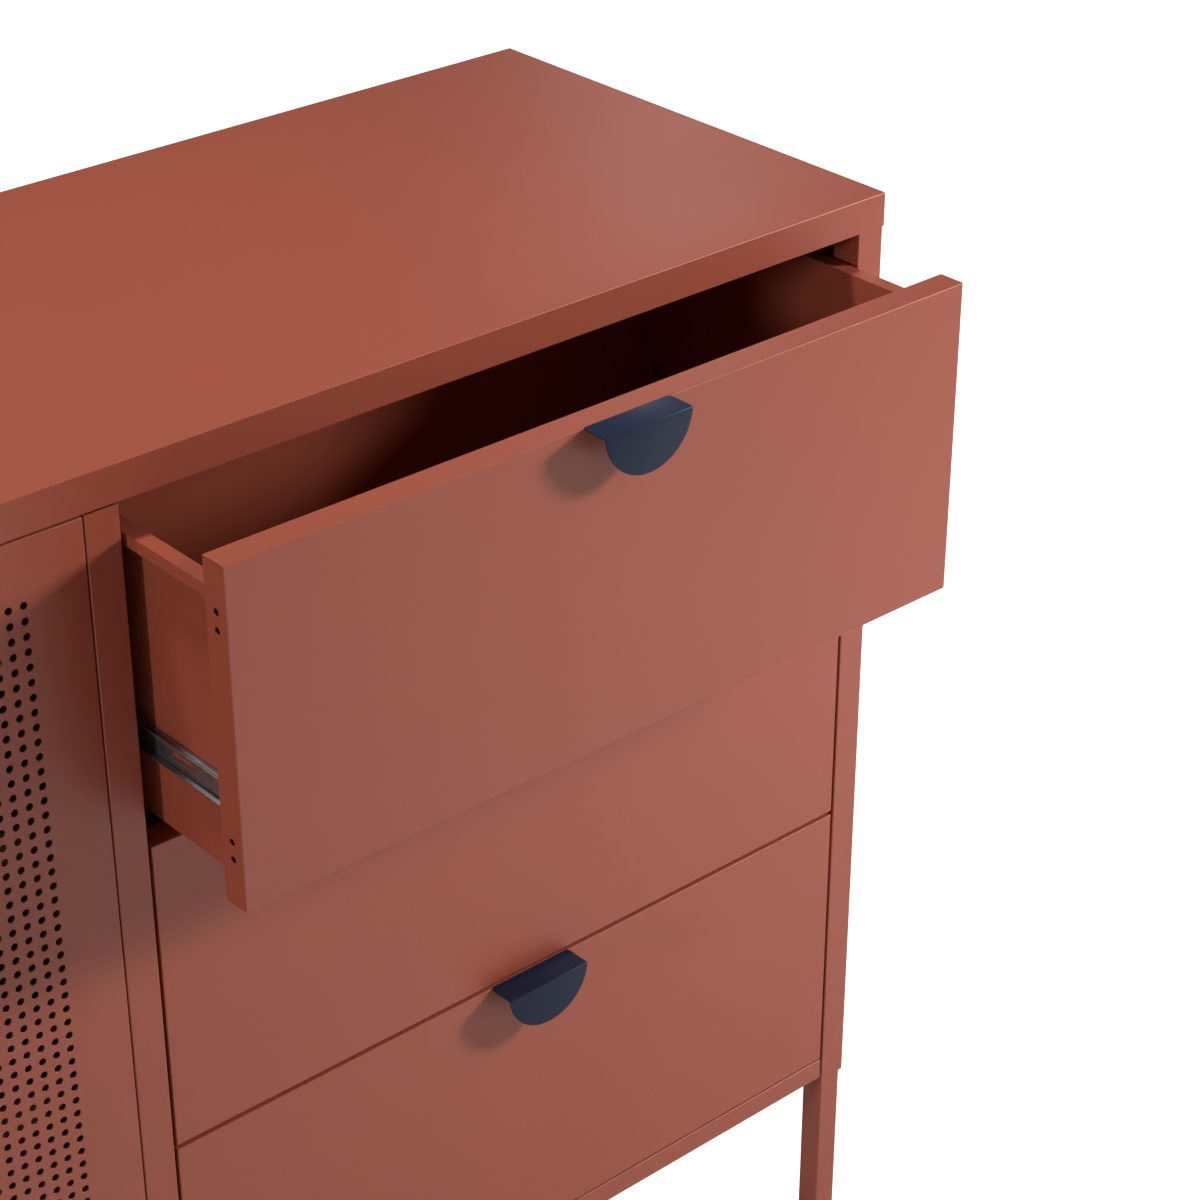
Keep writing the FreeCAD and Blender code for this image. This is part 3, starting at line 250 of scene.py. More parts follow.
class Patches:
    """Faces gathered as arrays of corners, and welded into one closed mesh."""

    WELD = 1e-6
    CELL_SHIFT = 0.3137

    def __init__(self) -> None:
        """Starts with no faces."""
        self.faces: list[np.ndarray] = []

    def add(self, corners: np.ndarray) -> None:
        """Adds faces.

        Args:
            corners: array of n faces, k corners each, and x, y, z.
        """
        self.faces.append(np.asarray(corners, dtype=float))

    def polygon(self, *runs: np.ndarray) -> None:
        """Adds one face whose corners are the runs of points, one after another.

        Args:
            runs: arrays of points.
        """
        self.add(np.concatenate([np.reshape(run, (-1, 3)) for run in runs])[None])

    def grid(self, points: np.ndarray, around: bool = False) -> None:
        """Adds the quads between the rows of a grid.

        Args:
            points: array of rows, columns and x, y, z.
            around: whether the last column meets the first.
        """
        if around:
            points = np.concatenate([points, points[:, :1]], axis=1)
        self.add(quads(points))

    def tube(self, rows: np.ndarray) -> None:
        """Adds the wall between closed rows, and closes the first and the last.

        Args:
            rows: array of rows, columns and x, y, z.
        """
        self.grid(rows, around=True)
        self.polygon(rows[0])
        self.polygon(rows[-1])

    def mesh(self, name: str) -> bpy.types.Mesh:
        """Welds equal corners, drops collapsed faces, and turns every face outwards.

        Args:
            name: the mesh's name.

        Returns:
            The mesh.
        """
        corners = np.concatenate([part.reshape(-1, 3) for part in self.faces])
        counts = np.concatenate([np.full(len(part), part.shape[1]) for part in self.faces])
        keys = np.floor(corners / self.WELD + self.CELL_SHIFT).astype(np.int64)
        _, first, index = np.unique(keys, axis=0, return_index=True, return_inverse=True)
        index = index.reshape(-1)
        starts = np.concatenate([[0], np.cumsum(counts)[:-1]])
        after = np.arange(len(index)) + 1
        after[starts + counts - 1] = starts
        face = np.repeat(np.arange(len(counts)), counts)
        kept = index != index[after]
        sizes = np.bincount(face[kept], minlength=len(counts))
        kept &= (sizes >= 3)[face]
        sizes = sizes[sizes >= 3]
        mesh = bpy.data.meshes.new(name)
        mesh.vertices.add(len(first))
        mesh.vertices.foreach_set("co", corners[first].ravel())
        mesh.loops.add(int(kept.sum()))
        mesh.loops.foreach_set("vertex_index", index[kept].astype(np.int32))
        mesh.polygons.add(len(sizes))
        loop_starts = np.concatenate([[0], np.cumsum(sizes)[:-1]]).astype(np.int32)
        mesh.polygons.foreach_set("loop_start", loop_starts)
        mesh.update(calc_edges=True)
        mesh.validate()
        turned = bmesh.new()
        turned.from_mesh(mesh)
        bmesh.ops.recalc_face_normals(turned, faces=turned.faces)
        turned.to_mesh(mesh)
        turned.free()
        mesh.shade_smooth()
        mesh.set_sharp_from_angle(angle=math.radians(SHARP))
        return mesh


def piece(name: str, body: str, patches: Patches, nodes: list[str], slot: Finish,
          finishes: "Finishes") -> None:
    """Makes a finished piece that rides on a body in place of CAD nodes.

    Args:
        name: the piece's name.
        body: the body that it moves with.
        patches: its faces.
        nodes: the CAD nodes that it stands for.
        slot: its finish.
        finishes: the materials.
    """
    thing = bpy.data.objects.new(name, patches.mesh(name))
    bpy.context.scene.collection.objects.link(thing)
    finishes.dress(thing, slot)
    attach(thing, body)
    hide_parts(*nodes)
    LOG.info("%s: %d faces", name, len(thing.data.polygons))


def arc(start: float, end: float, steps: int) -> np.ndarray:
    """Evenly spaced angles in radians.

    Args:
        start: degrees.
        end: degrees.
        steps: spaces between them.

    Returns:
        The angles.
    """
    return np.radians(np.linspace(start, end, steps + 1))


def placed(*parts: np.ndarray | float) -> np.ndarray:
    """Points out of arrays of coordinates, spread to one shape.

    Args:
        parts: one array or number for each coordinate.

    Returns:
        The points.
    """
    return np.stack(np.broadcast_arrays(*parts), axis=-1)


def islands(node: str) -> list[np.ndarray]:
    """The separate solids of a CAD node.

    Args:
        node: its name.

    Returns:
        The low and the high corner of each.
    """
    source = bmesh.new()
    source.from_mesh(frame["nodes"][node].data)
    bmesh.ops.remove_doubles(source, verts=source.verts, dist=Patches.WELD)
    left, boxes = set(source.verts), []
    while left:
        front = [left.pop()]
        found = list(front)
        while front:
            for edge in front.pop().link_edges:
                for vert in edge.verts:
                    if vert in left:
                        left.remove(vert)
                        front.append(vert)
                        found.append(vert)
        points = np.array([vert.co[:] for vert in found])
        boxes.append(np.array([points.min(axis=0), points.max(axis=0)]))
    source.free()
    return sorted(boxes, key=lambda box: tuple(box[0].round(6)))


def rounded_slab(patches: Patches, low: np.ndarray, high: np.ndarray, edge: float, axis: int,
                 steps: int = 3) -> None:
    """Adds a plate with rounded corners and rounded rims.

    The outline is a rectangle whose corners are arcs of radius edge. Across the thickness t, the
    point at angle a of a rim lies edge * (1 - sin a) inside the outline and edge * (1 - cos a)
    below its face.

    Args:
        patches: where it goes.
        low: its low corner.
        high: its high corner.
        edge: radius of corners and rims.
        axis: the axis across the plate.
        steps: faces to a quarter turn.
    """
    low, high = np.asarray(low, float), np.asarray(high, float)
    first, second = [each for each in range(3) if each != axis]
    turns = np.concatenate([arc(90 * corner, 90 * corner + 90, steps) for corner in range(4)])
    normals = np.stack([np.cos(turns), np.sin(turns)], axis=-1)
    sides = np.repeat(np.array([[1, 1], [-1, 1], [-1, -1], [1, -1]]), steps + 1, axis=0)
    middle = (low + high)[[first, second]] / 2
    half = (high - low)[[first, second]] / 2
    outline = middle + sides * (half - edge) + normals * edge
    rim = arc(0, 90, steps)
    inset = edge * (1 - np.sin(rim))
    depth = edge * (1 - np.cos(rim))
    inset = np.concatenate([inset, inset[::-1]])
    level = np.concatenate([low[axis] + depth, high[axis] - depth[::-1]])
    rows = np.zeros((len(inset), len(outline), 3))
    flat = outline[None] - normals[None] * inset[:, None, None]
    rows[..., first], rows[..., second] = flat[..., 0], flat[..., 1]
    rows[..., axis] = level[:, None]
    patches.tube(rows)


def turned_about(patches: Patches, profile: np.ndarray, centre: np.ndarray, axis: int,
                 sense: float, sides: int) -> None:
    """Adds a closed turned shape: profile (radius, height) carried round an axis.

    The point at angle a is centre + radius * (cos a, sin a) across the axis + height along it.

    Args:
        patches: where it goes.
        profile: array of radius and height, from its axis and back to it.
        centre: where height is 0.
        axis: the axis.
        sense: +1 or -1, the direction of height.
        sides: faces round it.
    """
    first, second = [each for each in range(3) if each != axis]
    turns = arc(0, 360, sides)[:-1]
    rows = np.zeros((len(profile), sides, 3)) + np.asarray(centre, float)
    rows[..., first] += profile[:, :1] * np.cos(turns)
    rows[..., second] += profile[:, :1] * np.sin(turns)
    rows[..., axis] += sense * profile[:, 1:]
    patches.grid(rows, around=True)


@dataclass(frozen=True)
class PowderCoat:
    """Baked powder: a satin film with a fine orange peel, faintly mottled in depth of colour."""

    name: str
    colour: Colour
    roughness: float = 0.42
    specular: float = 0.5
    spread: float = 0.015
    peel_per_metre: float = 620.0
    peel_depth: float = 0.03 * MM
    wave_depth: float = 0.6 * MM
    mottle: float = 0.05
    grain_share: float = 0.35
    cloud_share: float = 0.65
    clear: float = 0.0
    clear_roughness: float = 0.26

    def material(self) -> bpy.types.Material:
        """Builds the node tree.

        Returns:
            The material.
        """
        graph = Graph(self.name)
        broad = graph.noise(3.1, 3.0)
        grain = graph.noise(1900.0, 1.0)
        tone = graph.tree.nodes.new("ShaderNodeMath")
        tone.operation = "MULTIPLY_ADD"
        graph.link(grain, tone.inputs[0])
        tone.inputs[1].default_value = self.grain_share
        graph.link(graph.ramped(broad, 0.0, self.cloud_share), tone.inputs[2])
        graph.link(graph.blended(tone.outputs[0], shade(self.colour, 1 - self.mottle),
                                 shade(self.colour, 1 + self.mottle)),
                   graph.shader.inputs["Base Color"])
        graph.link(graph.ramped(graph.noise(9.0, 4.0), self.roughness - self.spread,
                                self.roughness + self.spread), graph.shader.inputs["Roughness"])
        peel = graph.bump(graph.noise(self.peel_per_metre, 2.0), self.peel_depth, 0.5)
        waves = graph.bump(graph.noise(5.0, 1.0), self.wave_depth, 0.08, peel)
        graph.link(waves, graph.shader.inputs["Normal"])
        graph.shader.inputs["Specular IOR Level"].default_value = self.specular
        graph.shader.inputs["Coat Weight"].default_value = self.clear
        graph.shader.inputs["Coat Roughness"].default_value = self.clear_roughness
        return graph.material


@dataclass(frozen=True)
class RolledZinc:
    """Zinc on rolled steel: metal with drawn lines along the member and a cloudy passivation."""

    name: str
    colour: Colour
    roughness: float = 0.34

    def material(self) -> bpy.types.Material:
        """Builds the node tree.

        Returns:
            The material.
        """
        graph = Graph(self.name)
        lines = graph.noise(900.0, 3.0, place=graph.stretched((1.0, 0.02, 1.0)))
        clouds = graph.noise(60.0, 4.0)
        graph.link(graph.blended(graph.ramped(clouds, 0.0, 1.0), shade(self.colour, 0.86),
                                 shade(self.colour, 1.08)), graph.shader.inputs["Base Color"])
        graph.link(graph.ramped(lines, self.roughness - 0.08, self.roughness + 0.1),
                   graph.shader.inputs["Roughness"])
        graph.link(graph.bump(lines, 0.00002, 0.5), graph.shader.inputs["Normal"])
        graph.shader.inputs["Metallic"].default_value = 1.0
        return graph.material


@dataclass(frozen=True)
class PolishedSteel:
    """Ground and polished bearing steel."""

    name: str
    colour: Colour

    def material(self) -> bpy.types.Material:
        """Builds the node tree.

        Returns:
            The material.
        """
        graph = Graph(self.name)
        haze = graph.noise(500.0, 3.0)
        graph.link(graph.blended(haze, shade(self.colour, 0.92), self.colour),
                   graph.shader.inputs["Base Color"])
        graph.link(graph.ramped(haze, 0.1, 0.22), graph.shader.inputs["Roughness"])
        graph.shader.inputs["Metallic"].default_value = 1.0
        return graph.material


@dataclass(frozen=True)
class MouldedPlastic:
    """Moulded plastic with a fine spark-eroded grain."""

    name: str
    colour: Colour
    roughness: float = 0.5

    def material(self) -> bpy.types.Material:
        """Builds the node tree.

        Returns:
            The material.
        """
        graph = Graph(self.name)
        grain = graph.cells(1400.0)
        graph.link(graph.blended(graph.noise(40.0, 3.0), shade(self.colour, 0.85),
                                 shade(self.colour, 1.15)), graph.shader.inputs["Base Color"])
        graph.link(graph.ramped(grain, self.roughness - 0.06, self.roughness + 0.08, 0.0, 0.7),
                   graph.shader.inputs["Roughness"])
        graph.link(graph.bump(grain, 0.00004, 0.6), graph.shader.inputs["Normal"])
        return graph.material


TERRACOTTA = (0.345, 0.0735, 0.0385)
NAVY = linear(31, 41, 63)


@dataclass
class Finishes:
    """All the finishes, one material for each slot."""

    materials: dict[Finish, bpy.types.Material]

    @classmethod
    def made(cls) -> "Finishes":
        """Makes each material once.

        Returns:
            The finishes.
        """
        kinds = {
            Finish.TERRACOTTA: PowderCoat("terracotta powder coat", TERRACOTTA),
            Finish.NAVY: PowderCoat("navy powder coat", NAVY, 0.46, 0.06, clear=0.14),
            Finish.ZINC: RolledZinc("rolled zinc steel", (0.44, 0.45, 0.47), 0.38),
            Finish.BALL: PolishedSteel("bearing steel", (0.68, 0.68, 0.7)),
            Finish.PLASTIC: MouldedPlastic("black plastic", (0.018, 0.018, 0.019)),
            Finish.NYLON: MouldedPlastic("nylon", (0.6, 0.59, 0.55), 0.42),
        }
        return cls({slot: kind.material() for slot, kind in kinds.items()})

    def dress(self, thing: bpy.types.Object, finish: Finish) -> None:
        """Puts a finish on every material slot of an object.

        Args:
            thing: a piece or a CAD node.
            finish: its slot.
        """
        material = self.materials[finish]
        if not thing.material_slots:
            thing.data.materials.append(material)
        for slot in thing.material_slots:
            slot.material = material


@dataclass
class PerforatedDoors:
    """The two doors: a folded tray whose face is punched with round holes on a square grid."""

    pitch: float = 10 * MM
    hole: float = 2.5 * MM
    roll: float = 0.15 * MM
    gauge: float = 1.0 * MM
    fold: float = 0.8 * MM
    hem: float = 12 * MM
    first_column: float = 37.7 * MM
    first_row: float = 41.7 * MM
    columns: int = 22
    rows: int = 62
    segments: int = 16
    fold_steps: int = 4

    def square(self) -> np.ndarray:
        """The border of one cell, from its right side round, at the hole's own angles.

        Returns:
            Array of points in units of half a cell.
        """
        ticks = np.linspace(-1, 1, self.segments // 4 + 1)[:-1]
        ones = np.ones_like(ticks)
        loop = np.concatenate([np.stack([ones, ticks], -1), np.stack([-ticks, ones], -1),
                               np.stack([-ones, -ticks], -1), np.stack([ticks, -ones], -1)])
        return np.roll(loop, -(self.segments // 8), axis=0)

    def holes(self) -> np.ndarray:
        """All cells: rings from the face's border of a cell through the hole to the back.

        With c the middle of a cell, ring n is c + r(n) * (cos a, sin a) at depth d(n); the first
        and the last ring are the square border of the cell.

        Returns:
            Array of faces, four corners and (u, w, depth).
        """
        turns = arc(0, 360, self.segments)[:-1]
        circle = np.stack([np.cos(turns), np.sin(turns)], -1)
        square = self.square() * self.pitch / 2
        wide, narrow = circle * (self.hole + self.roll), circle * self.hole
        rings = [(square, 0.0), (wide, 0.0), (narrow, self.roll), (narrow, self.gauge),
                 (square, self.gauge)]
        stack = np.stack([np.concatenate([flat, np.full((len(flat), 1), depth)], -1)
                          for flat, depth in rings])
        cell = quads(np.concatenate([stack, stack[:, :1]], axis=1))
        across = self.first_column + self.pitch * (np.arange(self.columns) + 0.5)
        upward = self.first_row + self.pitch * (np.arange(self.rows) + 0.5)
        middles = np.stack([*np.meshgrid(across, upward), np.zeros((self.rows, self.columns))], -1)
        return (middles.reshape(-1, 1, 1, 3) + cell[None]).reshape(-1, 4, 3)

    def border(self, width: float, height: float, inset: float, depth: float) -> list[np.ndarray]:
        """The four plain strips between the punched field and the folds.

        Args:
            width: the door's width.
            height: the door's height.
            inset: where the strips start, in from the edges.
            depth: behind the face.

        Returns:
            Four loops of (u, w, depth).
        """
        step = self.pitch * 4 / self.segments
        low = np.array([self.first_column, self.first_row])
        high = low + self.pitch * np.array([self.columns, self.rows])
        across = low[0] + step * np.arange(self.columns * self.segments // 4 + 1)
        upward = low[1] + step * np.arange(self.rows * self.segments // 4 + 1)
        corner = [(inset, inset), (width - inset, inset), (width - inset, height - inset),
                  (inset, height - inset)]
        edges = [placed(across[::-1], low[1]), placed(high[0], upward[::-1]),
                 placed(across, high[1]), placed(low[0], upward)]
        loops = []
        for side in range(4):
            flat = np.concatenate([np.array([corner[side], corner[(side + 1) % 4]]), edges[side]])
            loops.append(np.concatenate([flat, np.full((len(flat), 1), depth)], -1))
        return loops

    def rim(self, width: float, height: float, depth: float) -> np.ndarray:
        """The folds and the hem: a profile (inset, depth) carried round the door.

        Args:
            width: the door's width.
            height: the door's height.
            depth: the folded depth.

        Returns:
            Rows of four corners, each (u, w, depth).
        """
        turns = arc(0, 90, self.fold_steps)
        start = np.stack([self.fold * (1 - np.sin(turns)), self.fold * (1 - np.cos(turns))], -1)
        outer = start.copy()
        outer[:, 1] = depth - outer[:, 1]
        inner = self.gauge
        back = np.array([(inner + self.hem, depth), (inner + self.hem, depth - inner),
                         (inner, depth - inner), (inner, inner)])
        profile = np.concatenate([start, outer[::-1], back])
        inset, level = profile[:, 0], profile[:, 1]
        return np.stack([placed(inset, inset, level), placed(width - inset, inset, level),
                         placed(width - inset, height - inset, level),
                         placed(inset, height - inset, level)], axis=1)

    def build(self, finishes: Finishes) -> None:
        """Makes both doors.

        Args:
            finishes: the materials.
        """
        for side, hinge, sense in (("right", 1, -1.0), ("left", 0, 1.0)):
            node = f"door_{side}_panel"
            low, high = (np.array(corner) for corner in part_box(node))
            width, thick, height = high - low
            origin = np.array([(low, high)[hinge][0], low[1], low[2]])

            def set_in(points: np.ndarray) -> np.ndarray:
                """Turns (u, w, depth), from the hinge edge and the bottom, into x, y, z.

                Args:
                    points: array of (u, w, depth).

                Returns:
                    The places.
                """
                across, upward, depth = np.moveaxis(points, -1, 0)
                return origin + placed(sense * across, depth, upward)

            patches = Patches()
            patches.add(set_in(self.holes()))
            for loop in (*self.border(width, height, self.fold, 0.0),
                         *self.border(width, height, self.gauge, self.gauge)):
                patches.polygon(set_in(loop))
            patches.grid(set_in(self.rim(width, height, thick)), around=True)
            piece(f"perforated_door_{side}", f"door_{side}", patches, [node], Finish.TERRACOTTA,
                  finishes)


@dataclass
class HalfMoonPulls:
    """Bent sheet pulls: a half moon that hangs from a ledge, with a lap and a tab at the front."""

    reach: float = 20.2 * MM
    drop: float = 33.6 * MM
    gauge: float = 1.2 * MM
    bend: float = 0.9 * MM
    edge: float = 0.3 * MM
    lap: float = 1.2 * MM
    tab: float = 9.0 * MM
    tab_half: float = 22.0 * MM
    step_in: float = 1.2 * MM
    proud: float = 0.03 * MM
    moon_steps: int = 26
    bend_steps: int = 6
    rim_steps: int = 3

    def sheet(self, half: float, proud: float) -> np.ndarray:
        """The rims of the moon and its ledge, and the rows between them.

        The face is a disc of radius R whose middle stands `rise` over the ledge: at angle a from
        its lowest point the rim is at (R sin a, rise - R cos a), with the outward radius as its
        normal. The bend carries the same section round a quarter turn, and the ledge carries it
        back to the front. In from the rim, the section rounds over by edge * (1 - sin b),
        edge * (1 - cos b).

        Args:
            half: half the width of the ledge.
            proud: how far the ledge stands over the fold that it laps.

        Returns:
            The right rim as an array of rows, columns and x, y, z.
        """
        rise = (half ** 2 - self.drop ** 2) / (2 * self.drop)
        radius = self.drop + rise
        top = math.acos((rise + self.bend) / radius)
        moon = np.linspace(0, top, self.moon_steps + 1)
        turn = arc(0, 90, self.bend_steps)[1:]
        bent = np.linspace(radius * math.sin(top), half, self.bend_steps + 1)[1:]
        rim_half = np.concatenate([radius * np.sin(moon), bent, [half]])
        side = np.concatenate([np.sin(moon[:-1]), np.ones(self.bend_steps + 2)])
        down = np.concatenate([-np.cos(moon[:-1]), np.zeros(self.bend_steps + 2)])
        outer_y = np.concatenate([np.full(len(moon), -self.reach),
                                  -self.reach + self.bend * (1 - np.cos(turn)), [0.0]])
        outer_z = np.concatenate([rise - radius * np.cos(moon),
                                  -self.bend + self.bend * np.sin(turn), [0.0]]) + proud
        inward_y = np.concatenate([np.ones(len(moon)), np.cos(turn), [0.0]])
        inward_z = -np.concatenate([np.zeros(len(moon)), np.sin(turn), [1.0]])
        rim = arc(0, 90, self.rim_steps)
        inset = self.edge * (1 - np.sin(rim))
        deep = self.edge * (1 - np.cos(rim))
        inset = np.concatenate([inset, inset[::-1]])
        deep = np.concatenate([deep, self.gauge - deep[::-1]])
        return placed(rim_half[:, None] - side[:, None] * inset,
                      outer_y[:, None] + inward_y[:, None] * deep,
                      outer_z[:, None] - down[:, None] * inset + inward_z[:, None] * deep)

    def patches(self, half: float, proud: float) -> Patches:
        """The whole pull, with x along its ledge, y = 0 at the front and z = 0 on the ledge.

        Args:
            half: half its width.
            proud: how far the ledge stands over the fold that it laps.

        Returns:
            Its faces.
        """
        patches = Patches()
        right = self.sheet(half, proud)
        left = right * np.array([-1.0, 1.0, 1.0])
        patches.grid(right)
        patches.grid(left)
        for column in (0, -1):
            patches.grid(np.stack([left[:, column], right[:, column]], axis=1))
        patches.polygon(right[-1], left[-1][::-1])
        narrow = half - self.step_in
        thin = self.proud / 2
        rounded_slab(patches, (-narrow, -self.edge * 2, proud - self.gauge + thin),
                     (narrow, self.lap, proud - thin), self.edge / 2, 2)
        rounded_slab(patches, (-self.tab_half, -self.gauge, -self.tab),
                     (self.tab_half, -thin, -self.gauge / 2), self.edge, 1)
        return patches

    def build(self, finishes: Finishes) -> None:
        """Makes the three drawer pulls and the two door pulls.

        Args:
            finishes: the materials.
        """
        for number in DRAWERS:
            node = f"drawer_{number}_pull"
            low, high = (np.array(corner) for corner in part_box(node))
            patches = self.patches((high[0] - low[0]) / 2, 0.0)
            shift = np.array([(low[0] + high[0]) / 2, low[1] + self.reach, high[2]])
            patches.faces = [part + shift for part in patches.faces]
            piece(f"half_moon_pull_{number}", f"drawer_{number}", patches, [node], Finish.NAVY,
                  finishes)
        for side, ledge, sense in (("right", 0, 1.0), ("left", 1, -1.0)):
            node = f"door_{side}_pull"
            low, high = (np.array(corner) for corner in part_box(node))
            patches = self.patches((high[2] - low[2]) / 2, self.proud)
            shift = np.array([(low, high)[ledge][0], low[1] + self.reach, (low[2] + high[2]) / 2])
            turned = np.array([-sense, 1.0, 1.0])
            patches.faces = [part[..., ::-1] * turned + shift for part in patches.faces]
            piece(f"half_moon_pull_{side}", f"door_{side}", patches, [node], Finish.NAVY, finishes)


@dataclass
class DrawerMembers:
    """The slide members on the drawer boxes: rolled strip with a ball groove in each flange."""

    gauge: float = 1.2 * MM
    half: float = 10.2 * MM
    corner: float = 1.3 * MM
    groove: float = 1.7 * MM
    groove_out: float = 3.15 * MM
    groove_centre: float = 10.7 * MM
    groove_turn: float = 48.0
    tip: float = 5.4 * MM
    tip_rise: float = 9.6 * MM
    web_half: float = 4.0 * MM
    slot_start: float = 39.6 * MM
    slot_length: float = 22.9 * MM
    slot_half: float = 2.1 * MM
    hook_start: float = 255.9 * MM
    hook_low: float = -3.0 * MM
    hook_high: float = 7.4 * MM
    hook_depth: float = 2.5 * MM
    hook_edge: float = 0.2 * MM

    def section(self) -> np.ndarray:
        """The upper part of the strip, from the web out to the tip and back.

        The corner is an arc of radius `corner`; the groove is the arc (groove_out + g sin a,
        groove_centre - g cos a); the inside lies one gauge below.

        Returns:
            Loop of (out, rise).
        """
        bend = arc(180, 90, 5)
        outer = np.stack([self.corner * (1 + np.cos(bend)),
                          self.half - self.corner * (1 - np.sin(bend))], -1)
        dip = arc(-self.groove_turn, self.groove_turn, 10)
        groove = np.stack([self.groove_out + self.groove * np.sin(dip),
                           self.groove_centre - self.groove * np.cos(dip)], -1)
        roll = arc(90, -90, 6)
        nose = self.gauge / 2
        tip = np.stack([self.tip - nose + nose * np.cos(roll),
                        self.tip_rise - nose + nose * np.sin(roll)], -1)
        under = groove[::-1] - np.array([0.0, self.gauge])
        below = self.half - self.gauge
        inner = np.array([(self.corner + 0.3 * MM, below - 0.15 * MM),
                          (self.gauge, below - 0.6 * MM), (self.gauge, self.web_half)])
        return np.concatenate([[(0.0, self.web_half)], outer, groove, tip, under, inner])

    def slotted_web(self, patches: Patches, wall: float, sense: float, start: float, end: float,
                    rise: float) -> None:
        """The middle of the web, with its slot.

        Args:
            patches: where it goes.
            wall: X of the drawer box's side.
            sense: +1 or -1, outwards along X.
            start: Y of the front end.
            end: Y of the rear end.
            rise: Z of the middle.
        """
        low = start + self.slot_start + self.slot_half
        high = start + self.slot_start + self.slot_length - self.slot_half
        upper = np.concatenate([
            placed(centre + self.slot_half * np.cos(turn), self.slot_half * np.sin(turn))
            for centre, turn in ((high, arc(0, 90, 5)), (low, arc(90, 180, 5)))])
        ring = np.concatenate([upper, (upper * (1, -1))[::-1]])
        for out in (0.0, self.gauge):
            x = wall + sense * out
            for flip in (1.0, -1.0):
                ends = [(start, 0.0), (start, self.web_half), (end, self.web_half), (end, 0.0)]
                around = np.concatenate([ends, upper]) * (1.0, flip)
                patches.polygon(placed(x, around[:, 0], rise + around[:, 1]))
        rows = placed(wall + sense * np.array([[0.0], [self.gauge]]), ring[:, 0], rise + ring[:, 1])
        patches.grid(rows, around=True)
        half_web = np.array([(0.0, 0.0), (0.0, self.web_half), (self.gauge, self.web_half),
                             (self.gauge, 0.0)])
        for y in (start, end):
            for flip in (1.0, -1.0):
                across = half_web * (1.0, flip)
                patches.polygon(placed(wall + sense * across[:, 0], y, rise + across[:, 1]))

    def build(self, finishes: Finishes) -> None:
        """Makes the pair of each drawer.

        Args:
            finishes: the materials.
        """
        section = self.section()
        for number in DRAWERS:
            node = f"slide_{number}_drawer_members"
            low, high = (np.array(corner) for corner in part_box(node))
            rise = (low[2] + high[2]) / 2
            patches = Patches()
            for wall, sense in ((low[0] + self.tip, -1.0), (high[0] - self.tip, 1.0)):
                ends = np.array([[low[1]], [high[1]]])
                for flip in (1.0, -1.0):
                    rows = placed(wall + sense * section[:, 0], ends, rise + flip * section[:, 1])
                    patches.grid(rows)
                    for row in rows:
                        patches.polygon(row)
                self.slotted_web(patches, wall, sense, low[1], high[1], rise)
                y = low[1] + self.hook_start
                x = sorted((wall, wall - sense * self.hook_depth))
                rounded_slab(patches, (x[0], y, rise + self.hook_low),
                             (x[1], y + self.gauge, rise + self.hook_high), self.hook_edge, 1)
            piece(f"drawer_members_{number}", f"drawer_{number}", patches, [node], Finish.ZINC,
                  finishes)


